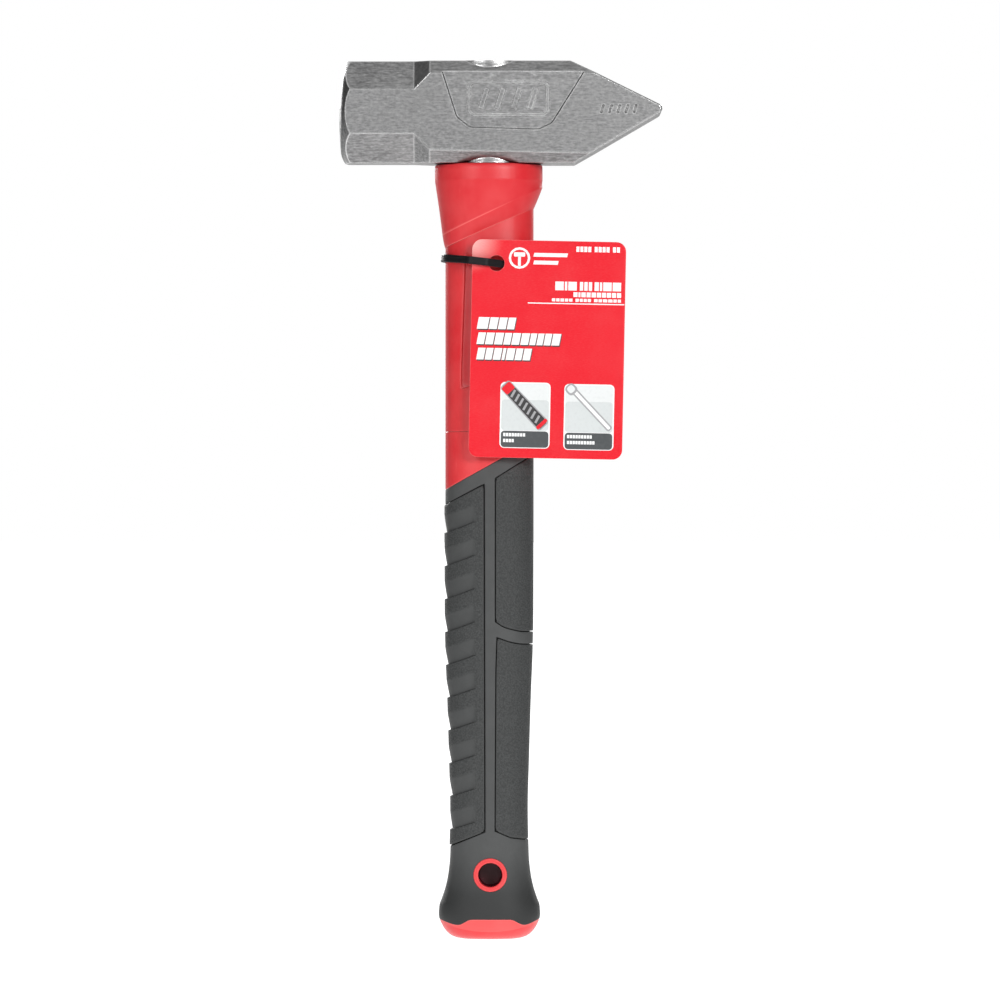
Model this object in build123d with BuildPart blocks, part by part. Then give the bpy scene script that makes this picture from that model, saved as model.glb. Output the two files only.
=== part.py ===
"""Cross peen hammer: forged steel head, glass-fibre core, moulded handle with a rubber grip, and a hang tag.

Millimetres. The origin is on the handle's axis at the underside of the head. +Z runs up along the
handle into the head, +X points to the peen and -X to the striking face. -Y is the front of the hammer.
"""
from math import asin, atan2, acos, cos, degrees, hypot, radians, sin, tan
import os

from build123d import *

os.makedirs("parts", exist_ok=True)

OVERRUN = 1.0                 # a cut runs this far past what it cuts

# Head
FACE_X = -59.2                # crown of the striking face
HEAD_HEIGHT = 40.0
HEAD_THICKNESS = 40.0
HEAD_MID = HEAD_HEIGHT / 2
POLL_CHAMFER = 11.3           # the poll is close to a regular octagon
POLL_END_X = -29.5            # where the octagon starts to turn into the body
BODY_START_X = -23.5
BODY_END_X = 70.0             # past the peen, so that the corner cuts run out
UPPER_CHAMFER = 5.0
LOWER_CHAMFER = 4.9
LOWER_CHAMFER_END = 3.0       # the lower chamfers narrow towards the peen
CROWN_RADIUS_AT = 15.5        # the crown ends and the rounded rim starts here
CROWN_RISE = 0.75
RIM_RADIUS_AT = 21.8
RIM_LENGTH = 4.6
PEEN_UPPER_X = 31.8           # the two slopes of the peen start here
PEEN_LOWER_X = 33.5
PEEN_UPPER_ANGLE = 26.3
PEEN_LOWER_ANGLE = 30.3
PEEN_RADIUS = 1.95
HEAD_EDGE = 0.7
EYE_WIDTH = 27.0
EYE_DEPTH = 20.5
EYE_CORNER = 10.0
EYE_FLARE = 2.0               # degrees, from the middle of the eye to each end
EYE_BOSS_RADIUS = 17.6
POCKET_DEPTH = 0.6
POCKET_OUTLINE = ((-20.5, 41), (-13.0, 17.6), (-7.8, 13.5), (19.2, 12.7), (24.6, 15.2), (40.8, 41))
POCKET_CORNER = 3.0
POCKET_DRAFT = 40.0
MARK_HEIGHT = 0.35            # raised mark in the pocket: a frame round slanted bars
MARK_CENTRE = (7.4, 25.0)
MARK_FRAME = (32.0, 14.0)
MARK_FRAME_CORNER = 3.0
MARK_LINE = 1.2
MARK_BAR = (1.9, 8.4)
MARK_BARS = 4
MARK_PITCH = 6.4
MARK_LEAN = 18.0
TALLY_DEPTH = 0.4             # row of stamped strokes on the peen's cheek
TALLY_CENTRE = (50.6, 20.9)
TALLY_STROKE = (3.6, 0.9)
TALLY_PITCH = 3.2
TALLY_STROKES = 5

# Core and the bond in the eye
CORE_WIDTH = 20.0
CORE_DEPTH = 14.0
CORE_CORNER = 6.9
CORE_TOP = 38.4
CORE_BOTTOM = -266.0
BOND_TOP = 38.9
BOND_BOTTOM = 1.0

# Guard: an upright rim, then a skirt that ends in a slanted band
RIM_SIZE = (42.4, 38.0)
RIM_CENTRE_X = -0.3
RIM_BOTTOM = -6.8
RIM_CORNER = 18.0
RIM_EDGE = 0.8
BAND_TOP_SIZE = (43.6, 30.6)
BAND_TOP_CENTRE = (1.15, -18.7)
BAND_TOP_CORNER = 14.0
BAND_TOP_ANGLE = 25.6
BAND_END_CENTRE = (0.0, -25.2)
BAND_END_ANGLE = 24.0
BAND_STEP = 0.15              # the band ends in a fine step on the shaft
SEAM_Z = -105.3

# Shaft and its recess
SHAFT_WIDTH = 34.7
SHAFT_DEPTH = 27.0
SHAFT_CORNER = 12.5
RECESS_DEPTH = 0.8
RECESS_TOP = -35.8
RECESS_OUTLINE = ((-9.5, RECESS_TOP), (9.5, RECESS_TOP), (11.1, -80.5), (-11.1, -88.8))
RECESS_CORNER = 1.6
INNER_WIDTH = 25.6            # the jacket under the rubber
INNER_DEPTH = 19.0
INNER_CORNER = 9.0
INNER_BOTTOM = -301.0

# Grip: height, half width and half depth of each section
GRIP_STATIONS = (
    (-96.0, 17.35, 13.5),
    (-135.0, 17.35, 13.5),
    (-172.0, 17.3, 13.5),
    (-208.0, 16.35, 13.1),
    (-250.0, 15.1, 12.6),
    (-272.0, 15.5, 12.9),
    (-284.0, 17.2, 13.8),
    (-290.0, 19.2, 15.2),
    (-295.0, 19.95, 15.9),
    (-298.5, 19.3, 15.8),
    (-302.0, 17.2, 15.0),
    (-304.8, 9.5, 7.0),
)
CORNER_SHARE = 0.925          # corner radius of a section, as a share of its half depth
BOUNDARY_Z = -118.5           # the slanted line between red jacket and grey rubber, on the axis
BOUNDARY_ANGLE = 29.0
PAD_DEPTH = 1.5
FINGER_PROUD = 0.4
PAD_CORNER = 1.0
FINGER_OUTLINE = ((-25.0, -138.2), (-2.2, -126.2), (-1.9, -262.3), (-25.0, -271.8))
PALM_UPPER_OUTLINE = ((25.0, -109.7), (2.4, -123.7), (2.4, -179.7), (8.4, -182.7), (13.9, -183.8),
                      (25.0, -183.6))
PALM_LOWER_OUTLINE = ((25.0, -188.7), (13.9, -188.9), (3.2, -186.0), (2.3, -262.0), (8.4, -264.6),
                      (25.0, -265.6))
POCKET_COUNT = 10
POCKET_FIRST_Z = -143.5       # lower edge of the first finger pocket
POCKET_PITCH = 13.1
POCKET_HEIGHT = 7.1
POCKET_CUT = 0.9
POCKET_RIGHT_X = -5.3
POCKET_LIFT = 21.0            # degrees that the pockets rise towards the middle
POCKET_LIFT_AT_RIGHT = 3.0
FAR = 30.0                    # beyond every face of the handle

# Butt
LANYARD_CENTRE = (0.3, -279.3)
LANYARD_OUTER = 6.65
LANYARD_BORE = 4.7
LANYARD_HALF_LENGTH = 13.6
LANYARD_WEB = 1.2             # the eyelet is moulded from both sides and closed in the middle
CAP_LINE = ((-19.4, -297.2), (-12.4, -298.8), (-7.0, -296.7), (8.1, -296.7), (13.7, -298.8), (20.1, -296.9))

# Hang tag
TAG_SIZE = (60.2, 85.2)
TAG_CORNER = 3.8
TAG_THICKNESS = 0.5
TAG_CENTRE = (22.65, -73.3)
TAG_Y = -18.2
TAG_TILT = 1.15
TAG_HOLE = (-20.5, 33.4)
TAG_HOLE_RADIUS = 3.1

# Cable tie: a loop round the shaft that passes through the tag's hole
TIE_Z = -39.2
TIE_TILT = 6.6
TIE_THICKNESS = 1.2
TIE_WIDTH = 3.0
TIE_CLEARANCE = 0.6
TIE_HOLE_U = 2.9
TIE_BEND_U = -1.0             # in front of the card, the strap bends here to dive through the hole
TIE_OVER_CARD = (-8.2, -20.4)
TIE_SIDE_V = -5.4
TIE_FRONT_RADIUS = 2.5
TIE_HEAD_SIZE = (5.6, 4.4, 5.4)
TIE_HEAD_GAP = 0.35
TIE_TAIL_LENGTH = 1.5


def slanted(centre, angle):
    """Plane through a point of the XZ plane, turned about Y so that it rises towards +X."""
    slope = radians(angle)
    return Plane(origin=(centre[0], 0, centre[1]), x_dir=(cos(slope), 0, sin(slope)),
                 z_dir=(-sin(slope), 0, cos(slope)))


def prism(outline, corner):
    """Solid through the whole handle, along Y, on a closed outline in X and Z."""
    with BuildPart() as solid:
        with BuildSketch(Plane.XZ) as face:
            Polygon(*outline, align=None)
            fillet(face.vertices(), corner)
        extrude(amount=FAR, both=True)
    return solid.part


def grip_form(inset):
    """The handle's grip from the shaft to the butt, with its surface moved inwards by the inset."""
    with BuildPart() as form:
        for height, half_width, half_depth in GRIP_STATIONS:
            with BuildSketch(Plane.XY.offset(height)):
                depth = 2 * (half_depth - inset)
                RectangleRounded(2 * (half_width - inset), depth, CORNER_SHARE * depth / 2)
        loft(ruled=True)
    return form.part


def shaft_bar(inset, top, bottom):
    """A straight length of the oval shaft."""
    with BuildPart() as bar:
        with BuildSketch(Plane.XY.offset(bottom)):
            RectangleRounded(SHAFT_WIDTH - 2 * inset, SHAFT_DEPTH - 2 * inset, SHAFT_CORNER - inset)
        extrude(amount=top - bottom)
    return bar.part


def inner_bar(width, depth, corner, top, bottom):
    """A straight rounded bar on the handle's axis."""
    with BuildPart() as bar:
        with BuildSketch(Plane.XY.offset(bottom)):
            RectangleRounded(width, depth, corner)
        extrude(amount=top - bottom)
    return bar.part


def lanyard_bar(radius):
    """A round bar along Y through the lanyard hole."""
    with BuildPart() as bar:
        with BuildSketch(Plane.XZ):
            with Locations(LANYARD_CENTRE):
                Circle(radius)
        extrude(amount=FAR, both=True)
    return bar.part


# Tools shared by several pieces
core_bar = inner_bar(CORE_WIDTH, CORE_DEPTH, CORE_CORNER, CORE_TOP, CORE_BOTTOM)
jacket_bar = inner_bar(INNER_WIDTH, INNER_DEPTH, INNER_CORNER, SEAM_Z, INNER_BOTTOM)
full_form = grip_form(0)
pad_floor = grip_form(PAD_DEPTH)

with BuildPart() as eye_space:
    for level in (-OVERRUN, HEAD_MID, HEAD_HEIGHT + OVERRUN):
        flare = abs(level - HEAD_MID) * tan(radians(EYE_FLARE))
        with BuildSketch(Plane.XY.offset(level)):
            RectangleRounded(EYE_WIDTH + 2 * flare, EYE_DEPTH + 2 * flare, EYE_CORNER + flare)
    loft(ruled=True)

# Forged head
with BuildPart() as hammer_head:
    with BuildSketch(Plane.XZ) as side:
        tan_upper = tan(radians(PEEN_UPPER_ANGLE))
        tan_lower = tan(radians(PEEN_LOWER_ANGLE))
        tip_x = (HEAD_HEIGHT + PEEN_UPPER_X * tan_upper + PEEN_LOWER_X * tan_lower) / (tan_upper + tan_lower)
        tip_z = (tip_x - PEEN_LOWER_X) * tan_lower
        Polygon((FACE_X, 0), (PEEN_LOWER_X, 0), (tip_x, tip_z), (PEEN_UPPER_X, HEAD_HEIGHT),
                (FACE_X, HEAD_HEIGHT), align=None)
        fillet(side.vertices().sort_by(Axis.X)[-1], PEEN_RADIUS)
    extrude(amount=HEAD_THICKNESS / 2, both=True)
    for level, toward, body_chamfer, end_chamfer in (
            (0, 1, LOWER_CHAMFER, LOWER_CHAMFER_END), (HEAD_HEIGHT, -1, UPPER_CHAMFER, UPPER_CHAMFER)):
        for side_sign in (1, -1):
            edge = side_sign * HEAD_THICKNESS / 2
            for station, leg in ((FACE_X - OVERRUN, POLL_CHAMFER), (POLL_END_X, POLL_CHAMFER),
                                 (BODY_START_X, body_chamfer), (BODY_END_X, end_chamfer)):
                with BuildSketch(Plane.YZ.offset(station)):
                    Polygon((edge, level), (edge - side_sign * leg, level), (edge, level + toward * leg),
                            align=None)
            loft(ruled=True, mode=Mode.SUBTRACT)
    fillet(hammer_head.edges().filter_by(lambda e: FACE_X + HEAD_EDGE < e.center().X < tip_x - PEEN_RADIUS),
           HEAD_EDGE)
    Cylinder(EYE_BOSS_RADIUS, HEAD_HEIGHT, align=(Align.CENTER, Align.CENTER, Align.MIN))
    with BuildSketch(Plane.XZ):
        with BuildLine():
            crown_radius = (CROWN_RADIUS_AT ** 2 + CROWN_RISE ** 2) / (2 * CROWN_RISE)
            crown_angle = degrees(asin(CROWN_RADIUS_AT / crown_radius))
            crown = CenterArc((FACE_X + crown_radius, HEAD_MID), crown_radius, 180, -crown_angle)
            rim = TangentArc(crown @ 1, (FACE_X + RIM_LENGTH, HEAD_MID + RIM_RADIUS_AT), tangent=crown % 1)
            Polyline(rim @ 1, (BODY_END_X, HEAD_MID + BODY_END_X), (BODY_END_X, HEAD_MID), crown @ 0)
        make_face()
    revolve(axis=Axis((0, 0, HEAD_MID), (1, 0, 0)), mode=Mode.INTERSECT)
    for cheek, inward in ((HEAD_THICKNESS / 2, -1), (-HEAD_THICKNESS / 2, 1)):
        with BuildSketch(Plane.XZ.offset(cheek)) as pocket:
            Polygon(*POCKET_OUTLINE, align=None)
            fillet(pocket.vertices().filter_by(lambda v: v.Z < HEAD_MID), POCKET_CORNER)
        extrude(amount=inward * POCKET_DEPTH, taper=POCKET_DRAFT, mode=Mode.SUBTRACT)
        with BuildSketch(Plane.XZ.offset(cheek + inward * POCKET_DEPTH)):
            with Locations(MARK_CENTRE):
                RectangleRounded(*MARK_FRAME, MARK_FRAME_CORNER)
                RectangleRounded(MARK_FRAME[0] - 2 * MARK_LINE, MARK_FRAME[1] - 2 * MARK_LINE,
                                 MARK_FRAME_CORNER - MARK_LINE, mode=Mode.SUBTRACT)
                with GridLocations(MARK_PITCH, 0, MARK_BARS, 1):
                    Rectangle(*MARK_BAR, rotation=-MARK_LEAN)
        extrude(amount=-inward * MARK_HEIGHT)
        with BuildSketch(Plane.XZ.offset(cheek)):
            with Locations(TALLY_CENTRE):
                with GridLocations(TALLY_PITCH, 0, TALLY_STROKES, 1):
                    SlotOverall(*TALLY_STROKE, rotation=90 - MARK_LEAN)
        extrude(amount=inward * TALLY_DEPTH, mode=Mode.SUBTRACT)
    add(eye_space.part, mode=Mode.SUBTRACT)

# Glass-fibre core rod and the epoxy that bonds it in the eye
with BuildPart() as fiberglass_core:
    add(core_bar)

with BuildPart() as eye_epoxy:
    add(eye_space.part)
    split(bisect_by=Plane.XY.offset(BOND_TOP), keep=Keep.BOTTOM)
    split(bisect_by=Plane.XY.offset(BOND_BOTTOM), keep=Keep.TOP)
    add(core_bar, mode=Mode.SUBTRACT)

# Guard under the head, with the recess on the front and back of its sleeve
with BuildPart() as recess:
    add(shaft_bar(-OVERRUN, RECESS_TOP + OVERRUN, SEAM_Z))
    add(shaft_bar(RECESS_DEPTH, RECESS_TOP + OVERRUN, SEAM_Z), mode=Mode.SUBTRACT)
    add(prism(RECESS_OUTLINE, RECESS_CORNER), mode=Mode.INTERSECT)

with BuildPart() as overstrike_guard:
    with BuildSketch(Plane.XY.offset(RIM_BOTTOM)):
        with Locations((RIM_CENTRE_X, 0)):
            RectangleRounded(*RIM_SIZE, RIM_CORNER)
    extrude(amount=-RIM_BOTTOM)
    fillet(overstrike_guard.edges().group_by(Axis.Z)[-1], RIM_EDGE)
    with BuildSketch(Plane.XY.offset(RIM_BOTTOM)):
        with Locations((RIM_CENTRE_X, 0)):
            RectangleRounded(*RIM_SIZE, RIM_CORNER)
    with BuildSketch(slanted(BAND_TOP_CENTRE, BAND_TOP_ANGLE)):
        RectangleRounded(*BAND_TOP_SIZE, BAND_TOP_CORNER)
    with BuildSketch(slanted(BAND_END_CENTRE, BAND_END_ANGLE)):
        band_end_width = SHAFT_WIDTH / cos(radians(BAND_END_ANGLE)) + 2 * BAND_STEP
        RectangleRounded(band_end_width, SHAFT_DEPTH + 2 * BAND_STEP, SHAFT_CORNER + BAND_STEP)
    loft(ruled=True)
    add(shaft_bar(0, RIM_BOTTOM, SEAM_Z))
    add(recess.part, mode=Mode.SUBTRACT)
    add(core_bar, mode=Mode.SUBTRACT)

# Jacket: the hard red moulding that carries the rubber
with BuildPart() as handle_jacket:
    add(shaft_bar(0, SEAM_Z, LANYARD_CENTRE[1]))
    split(bisect_by=slanted((0, BOUNDARY_Z), BOUNDARY_ANGLE), keep=Keep.TOP)
    add(jacket_bar)
    add(core_bar, mode=Mode.SUBTRACT)
    add(lanyard_bar(LANYARD_OUTER), mode=Mode.SUBTRACT)

# Rubber grip: a body, with three textured pads let into its surface
with BuildPart() as cap_zone:
    with BuildSketch(Plane.XZ):
        with BuildLine():
            wave = Spline((-FAR, CAP_LINE[0][1]), *CAP_LINE, (FAR, CAP_LINE[-1][1]))
            Polyline(wave @ 1, (FAR, INNER_BOTTOM - FAR), (-FAR, INNER_BOTTOM - FAR), wave @ 0)
        make_face()
    extrude(amount=FAR, both=True)

with BuildPart() as finger_pockets:
    for number in range(POCKET_COUNT):
        with BuildSketch(Plane.XZ):
            with BuildLine():
                low = (POCKET_RIGHT_X, POCKET_FIRST_Z + POCKET_LIFT_AT_RIGHT - number * POCKET_PITCH)
                run = FAR + POCKET_RIGHT_X
                drop = run * tan(radians(POCKET_LIFT))
                Polyline(low, (-FAR, low[1] - drop), (-FAR, low[1] - drop + POCKET_HEIGHT),
                         (POCKET_RIGHT_X, low[1] + POCKET_HEIGHT), close=True)
            make_face()
        extrude(amount=FAR, both=True)
    add(grip_form(POCKET_CUT - FINGER_PROUD), mode=Mode.SUBTRACT)

with BuildPart() as finger_panel:
    add(grip_form(-FINGER_PROUD))
    add(prism(FINGER_OUTLINE, PAD_CORNER), mode=Mode.INTERSECT)
    add(pad_floor, mode=Mode.SUBTRACT)
    add(finger_pockets.part, mode=Mode.SUBTRACT)

with BuildPart() as palm_panel_upper:
    add(full_form)
    add(prism(PALM_UPPER_OUTLINE, PAD_CORNER), mode=Mode.INTERSECT)
    add(pad_floor, mode=Mode.SUBTRACT)

with BuildPart() as palm_panel_lower:
    add(full_form)
    add(prism(PALM_LOWER_OUTLINE, PAD_CORNER), mode=Mode.INTERSECT)
    add(pad_floor, mode=Mode.SUBTRACT)

with BuildPart() as pad_zones:
    for outline in (FINGER_OUTLINE, PALM_UPPER_OUTLINE, PALM_LOWER_OUTLINE):
        add(prism(outline, PAD_CORNER))
    add(pad_floor, mode=Mode.SUBTRACT)

with BuildPart() as grip_body:
    add(full_form)
    split(bisect_by=slanted((0, BOUNDARY_Z), BOUNDARY_ANGLE), keep=Keep.BOTTOM)
    add(cap_zone.part, mode=Mode.SUBTRACT)
    add(pad_zones.part, mode=Mode.SUBTRACT)
    add(jacket_bar, mode=Mode.SUBTRACT)
    add(lanyard_bar(LANYARD_OUTER), mode=Mode.SUBTRACT)

# Butt cap and the eyelet for a lanyard
with BuildPart() as butt_cap:
    add(full_form)
    add(cap_zone.part, mode=Mode.INTERSECT)
    add(jacket_bar, mode=Mode.SUBTRACT)

with BuildPart() as lanyard_sleeve:
    with BuildSketch(Plane.XZ):
        with Locations(LANYARD_CENTRE):
            Circle(LANYARD_OUTER)
            Circle(LANYARD_BORE, mode=Mode.SUBTRACT)
    extrude(amount=LANYARD_HALF_LENGTH, both=True)
    with BuildSketch(Plane.XZ):
        with Locations(LANYARD_CENTRE):
            Circle(LANYARD_OUTER)
    extrude(amount=LANYARD_WEB / 2, both=True)

# Hang tag: a card that hangs in front of the shaft by a hole near its upper left corner
tag_turn = radians(TAG_TILT)
tag_plane = Plane(origin=(TAG_CENTRE[0], TAG_Y, TAG_CENTRE[1]), x_dir=(cos(tag_turn), 0, -sin(tag_turn)),
                  z_dir=(0, -1, 0))
with BuildPart() as hang_tag:
    with BuildSketch(tag_plane):
        RectangleRounded(*TAG_SIZE, TAG_CORNER)
        with Locations(TAG_HOLE):
            Circle(TAG_HOLE_RADIUS, mode=Mode.SUBTRACT)
    extrude(amount=TAG_THICKNESS / 2, both=True)

# Cable tie: it lies on the shaft all round, except in front, where it goes through the tag's hole
tie_turn = radians(TIE_TILT)
tie_plane = Plane(origin=(0, 0, TIE_Z), x_dir=(cos(tie_turn), 0, -sin(tie_turn)),
                  z_dir=(sin(tie_turn), 0, cos(tie_turn)))
tie_offset = TIE_CLEARANCE + TIE_THICKNESS / 2
tie_side = SHAFT_WIDTH / 2 + tie_offset
tie_back = SHAFT_DEPTH / 2 + tie_offset
tie_corner = SHAFT_CORNER + tie_offset
corner_u = SHAFT_WIDTH / 2 - SHAFT_CORNER
corner_v = SHAFT_CORNER - SHAFT_DEPTH / 2
reach = hypot(corner_u - TIE_HOLE_U, corner_v - TAG_Y)
climb = tan(acos(tie_corner / reach) - atan2(corner_u - TIE_HOLE_U, corner_v - TAG_Y))
tie_bend = (TIE_BEND_U, TAG_Y + (TIE_BEND_U - TIE_HOLE_U) * climb)
tie_meet = (tie_side, TAG_Y + (tie_side - TIE_HOLE_U) * climb)
with BuildSketch() as tie_loop:
    with BuildLine():
        FilletPolyline((-tie_side, TIE_SIDE_V), (-tie_side, tie_back), (tie_side, tie_back), tie_meet,
                       tie_bend, TIE_OVER_CARD, close=True,
                       radius=[tie_corner] * 4 + [TIE_FRONT_RADIUS] * 2)
    make_face()
with BuildPart() as cable_tie:
    with BuildSketch(tie_plane):
        offset(tie_loop.sketch, amount=TIE_THICKNESS / 2)
        offset(tie_loop.sketch, amount=-TIE_THICKNESS / 2, mode=Mode.SUBTRACT)
    extrude(amount=TIE_WIDTH / 2, both=True)
    with Locations(tie_plane):
        with Locations((0, SHAFT_DEPTH / 2 + TIE_HEAD_GAP, 0)):
            Box(*TIE_HEAD_SIZE, align=(Align.CENTER, Align.MIN, Align.CENTER))
        with Locations((TIE_THICKNESS, SHAFT_DEPTH / 2 + TIE_HEAD_GAP + TIE_HEAD_SIZE[1], 0)):
            Box(TIE_THICKNESS, TIE_TAIL_LENGTH, TIE_WIDTH, align=(Align.CENTER, Align.MIN, Align.CENTER))

pieces = {
    "hammer_head": hammer_head,
    "fiberglass_core": fiberglass_core,
    "eye_epoxy": eye_epoxy,
    "overstrike_guard": overstrike_guard,
    "handle_jacket": handle_jacket,
    "grip_body": grip_body,
    "finger_panel": finger_panel,
    "palm_panel_upper": palm_panel_upper,
    "palm_panel_lower": palm_panel_lower,
    "lanyard_sleeve": lanyard_sleeve,
    "butt_cap": butt_cap,
    "hang_tag": hang_tag,
    "cable_tie": cable_tie,
}
for node, piece in pieces.items():
    piece.part.label = node
    export_step(piece.part, f"parts/{node}.step")
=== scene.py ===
"""Cross peen hammer: the visible model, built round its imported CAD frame.

The steel head, the core and the epoxy keep their CAD meshes. The guard, the jacket, the grip with its pads,
the butt cap, the lanyard eyelet, the hang tag and the cable tie are made here as finer meshes and stand for
their CAD nodes. Lengths are metres. +Z runs up the handle, +X points to the peen and -Y is the front.
"""

from bisect import bisect_right
from dataclasses import dataclass, field
from enum import Enum
import logging
import math
from typing import Any, Callable, Mapping, Optional, Sequence, Union

import bmesh
import bpy
from mathutils import Matrix, Vector

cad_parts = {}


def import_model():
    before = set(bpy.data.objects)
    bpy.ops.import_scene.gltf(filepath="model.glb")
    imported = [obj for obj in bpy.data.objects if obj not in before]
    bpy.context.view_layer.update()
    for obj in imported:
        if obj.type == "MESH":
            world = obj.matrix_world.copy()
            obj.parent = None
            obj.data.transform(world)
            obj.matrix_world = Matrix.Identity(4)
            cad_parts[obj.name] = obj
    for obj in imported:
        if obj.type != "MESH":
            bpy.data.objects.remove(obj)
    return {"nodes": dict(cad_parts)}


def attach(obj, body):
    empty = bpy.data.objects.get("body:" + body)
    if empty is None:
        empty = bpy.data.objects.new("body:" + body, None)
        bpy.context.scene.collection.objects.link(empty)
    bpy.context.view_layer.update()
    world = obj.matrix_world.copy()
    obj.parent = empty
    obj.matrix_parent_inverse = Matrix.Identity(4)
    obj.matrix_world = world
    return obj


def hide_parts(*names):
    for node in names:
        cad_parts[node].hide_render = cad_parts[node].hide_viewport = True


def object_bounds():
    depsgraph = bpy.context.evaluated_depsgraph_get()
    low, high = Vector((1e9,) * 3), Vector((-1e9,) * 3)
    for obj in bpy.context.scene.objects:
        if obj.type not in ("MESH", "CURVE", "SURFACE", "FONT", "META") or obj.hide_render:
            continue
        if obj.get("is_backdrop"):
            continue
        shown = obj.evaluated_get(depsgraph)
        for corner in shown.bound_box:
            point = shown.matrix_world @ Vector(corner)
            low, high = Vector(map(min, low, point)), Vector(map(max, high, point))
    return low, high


log = logging.getLogger("hammer")
MM = 0.001
TURN = 2 * math.pi
Colour = tuple[float, float, float]
Rows = list[list[Vector]]
WHITE = (1.0, 1.0, 1.0, 1.0)
MASK_SAMPLES = 6
# Both masks feed the finishes' colours: the edge mask pales edges (wear and painted highlight), and the gap
# mask is painted shade.
EDGE_BEND = (0.002, 0.016)      # how far the normal has to turn for an edge to start and to be full
GAP_SHUT = (0.12, 0.70)         # the same for how much of the sky a gap shuts out
SHARP = 38.0                    # degrees above which an edge stays sharp


# ---------------------------------------------------------------- shader maths


class Shade:
    """A value that varies over a surface: it wraps a socket, so that shader maths reads as an expression."""

    def __init__(self, tree: "Tree", socket: bpy.types.NodeSocket) -> None:
        """Keeps the tree that the socket belongs to.

        Args:
            tree: the material's tree, which makes the nodes of each expression.
            socket: the output that carries the value.
        """
        self.tree = tree
        self.socket = socket

    def _math(self, operation: str, first: "Term", second: "Term" = None) -> "Shade":
        """Adds a Math node.

        Args:
            operation: the node's operation.
            first: the first term.
            second: the second term, if the operation has one.

        Returns:
            The node's value.
        """
        node = self.tree.add("ShaderNodeMath", {"operation": operation}, {0: first, 1: second})
        return Shade(self.tree, node.outputs[0])

    def __add__(self, other: "Term") -> "Shade":
        """self + other."""
        return self._math("ADD", self, other)

    def __radd__(self, other: "Term") -> "Shade":
        """other + self."""
        return self._math("ADD", other, self)

    def __sub__(self, other: "Term") -> "Shade":
        """self - other."""
        return self._math("SUBTRACT", self, other)

    def __rsub__(self, other: "Term") -> "Shade":
        """other - self."""
        return self._math("SUBTRACT", other, self)

    def __mul__(self, other: "Term") -> "Shade":
        """self * other."""
        return self._math("MULTIPLY", self, other)

    def __rmul__(self, other: "Term") -> "Shade":
        """other * self."""
        return self._math("MULTIPLY", other, self)

    def __pow__(self, other: "Term") -> "Shade":
        """self raised to other."""
        return self._math("POWER", self, other)

    def step(self, low: float, high: float) -> "Shade":
        """A smooth step from 0 at low to 1 at high, or the reverse where low is above high."""
        node = self.tree.add("ShaderNodeMapRange", {"interpolation_type": "SMOOTHSTEP"},
                             {"Value": self, "From Min": low, "From Max": high})
        return Shade(self.tree, node.outputs["Result"])


Term = Union[Shade, float, int, None]


class Nodes:
    """The node tree of a material or the world, and the one method that makes every node."""

    def __init__(self, owner: Union[bpy.types.Material, bpy.types.World]) -> None:
        """Empties the owner's tree.

        Args:
            owner: the material or world to build in.
        """
        owner.use_nodes = True
        self.tree = owner.node_tree
        self.tree.nodes.clear()

    def add(self, kind: str, settings: Optional[Mapping[str, Any]] = None,
            inputs: Optional[Mapping[Union[str, int], Any]] = None) -> bpy.types.Node:
        """Makes a node.

        Args:
            kind: the node's type.
            settings: its properties, which are set first.
            inputs: values or links of its sockets, by name or number.

        Returns:
            The new node.
        """
        node = self.tree.nodes.new(kind)
        for name, value in (settings or {}).items():
            setattr(node, name, value)
        for key, value in (inputs or {}).items():
            if isinstance(value, Shade):
                value = value.socket
            if isinstance(value, bpy.types.NodeSocket):
                self.tree.links.new(value, node.inputs[key])
            elif value is not None:
                node.inputs[key].default_value = value
        return node


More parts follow.
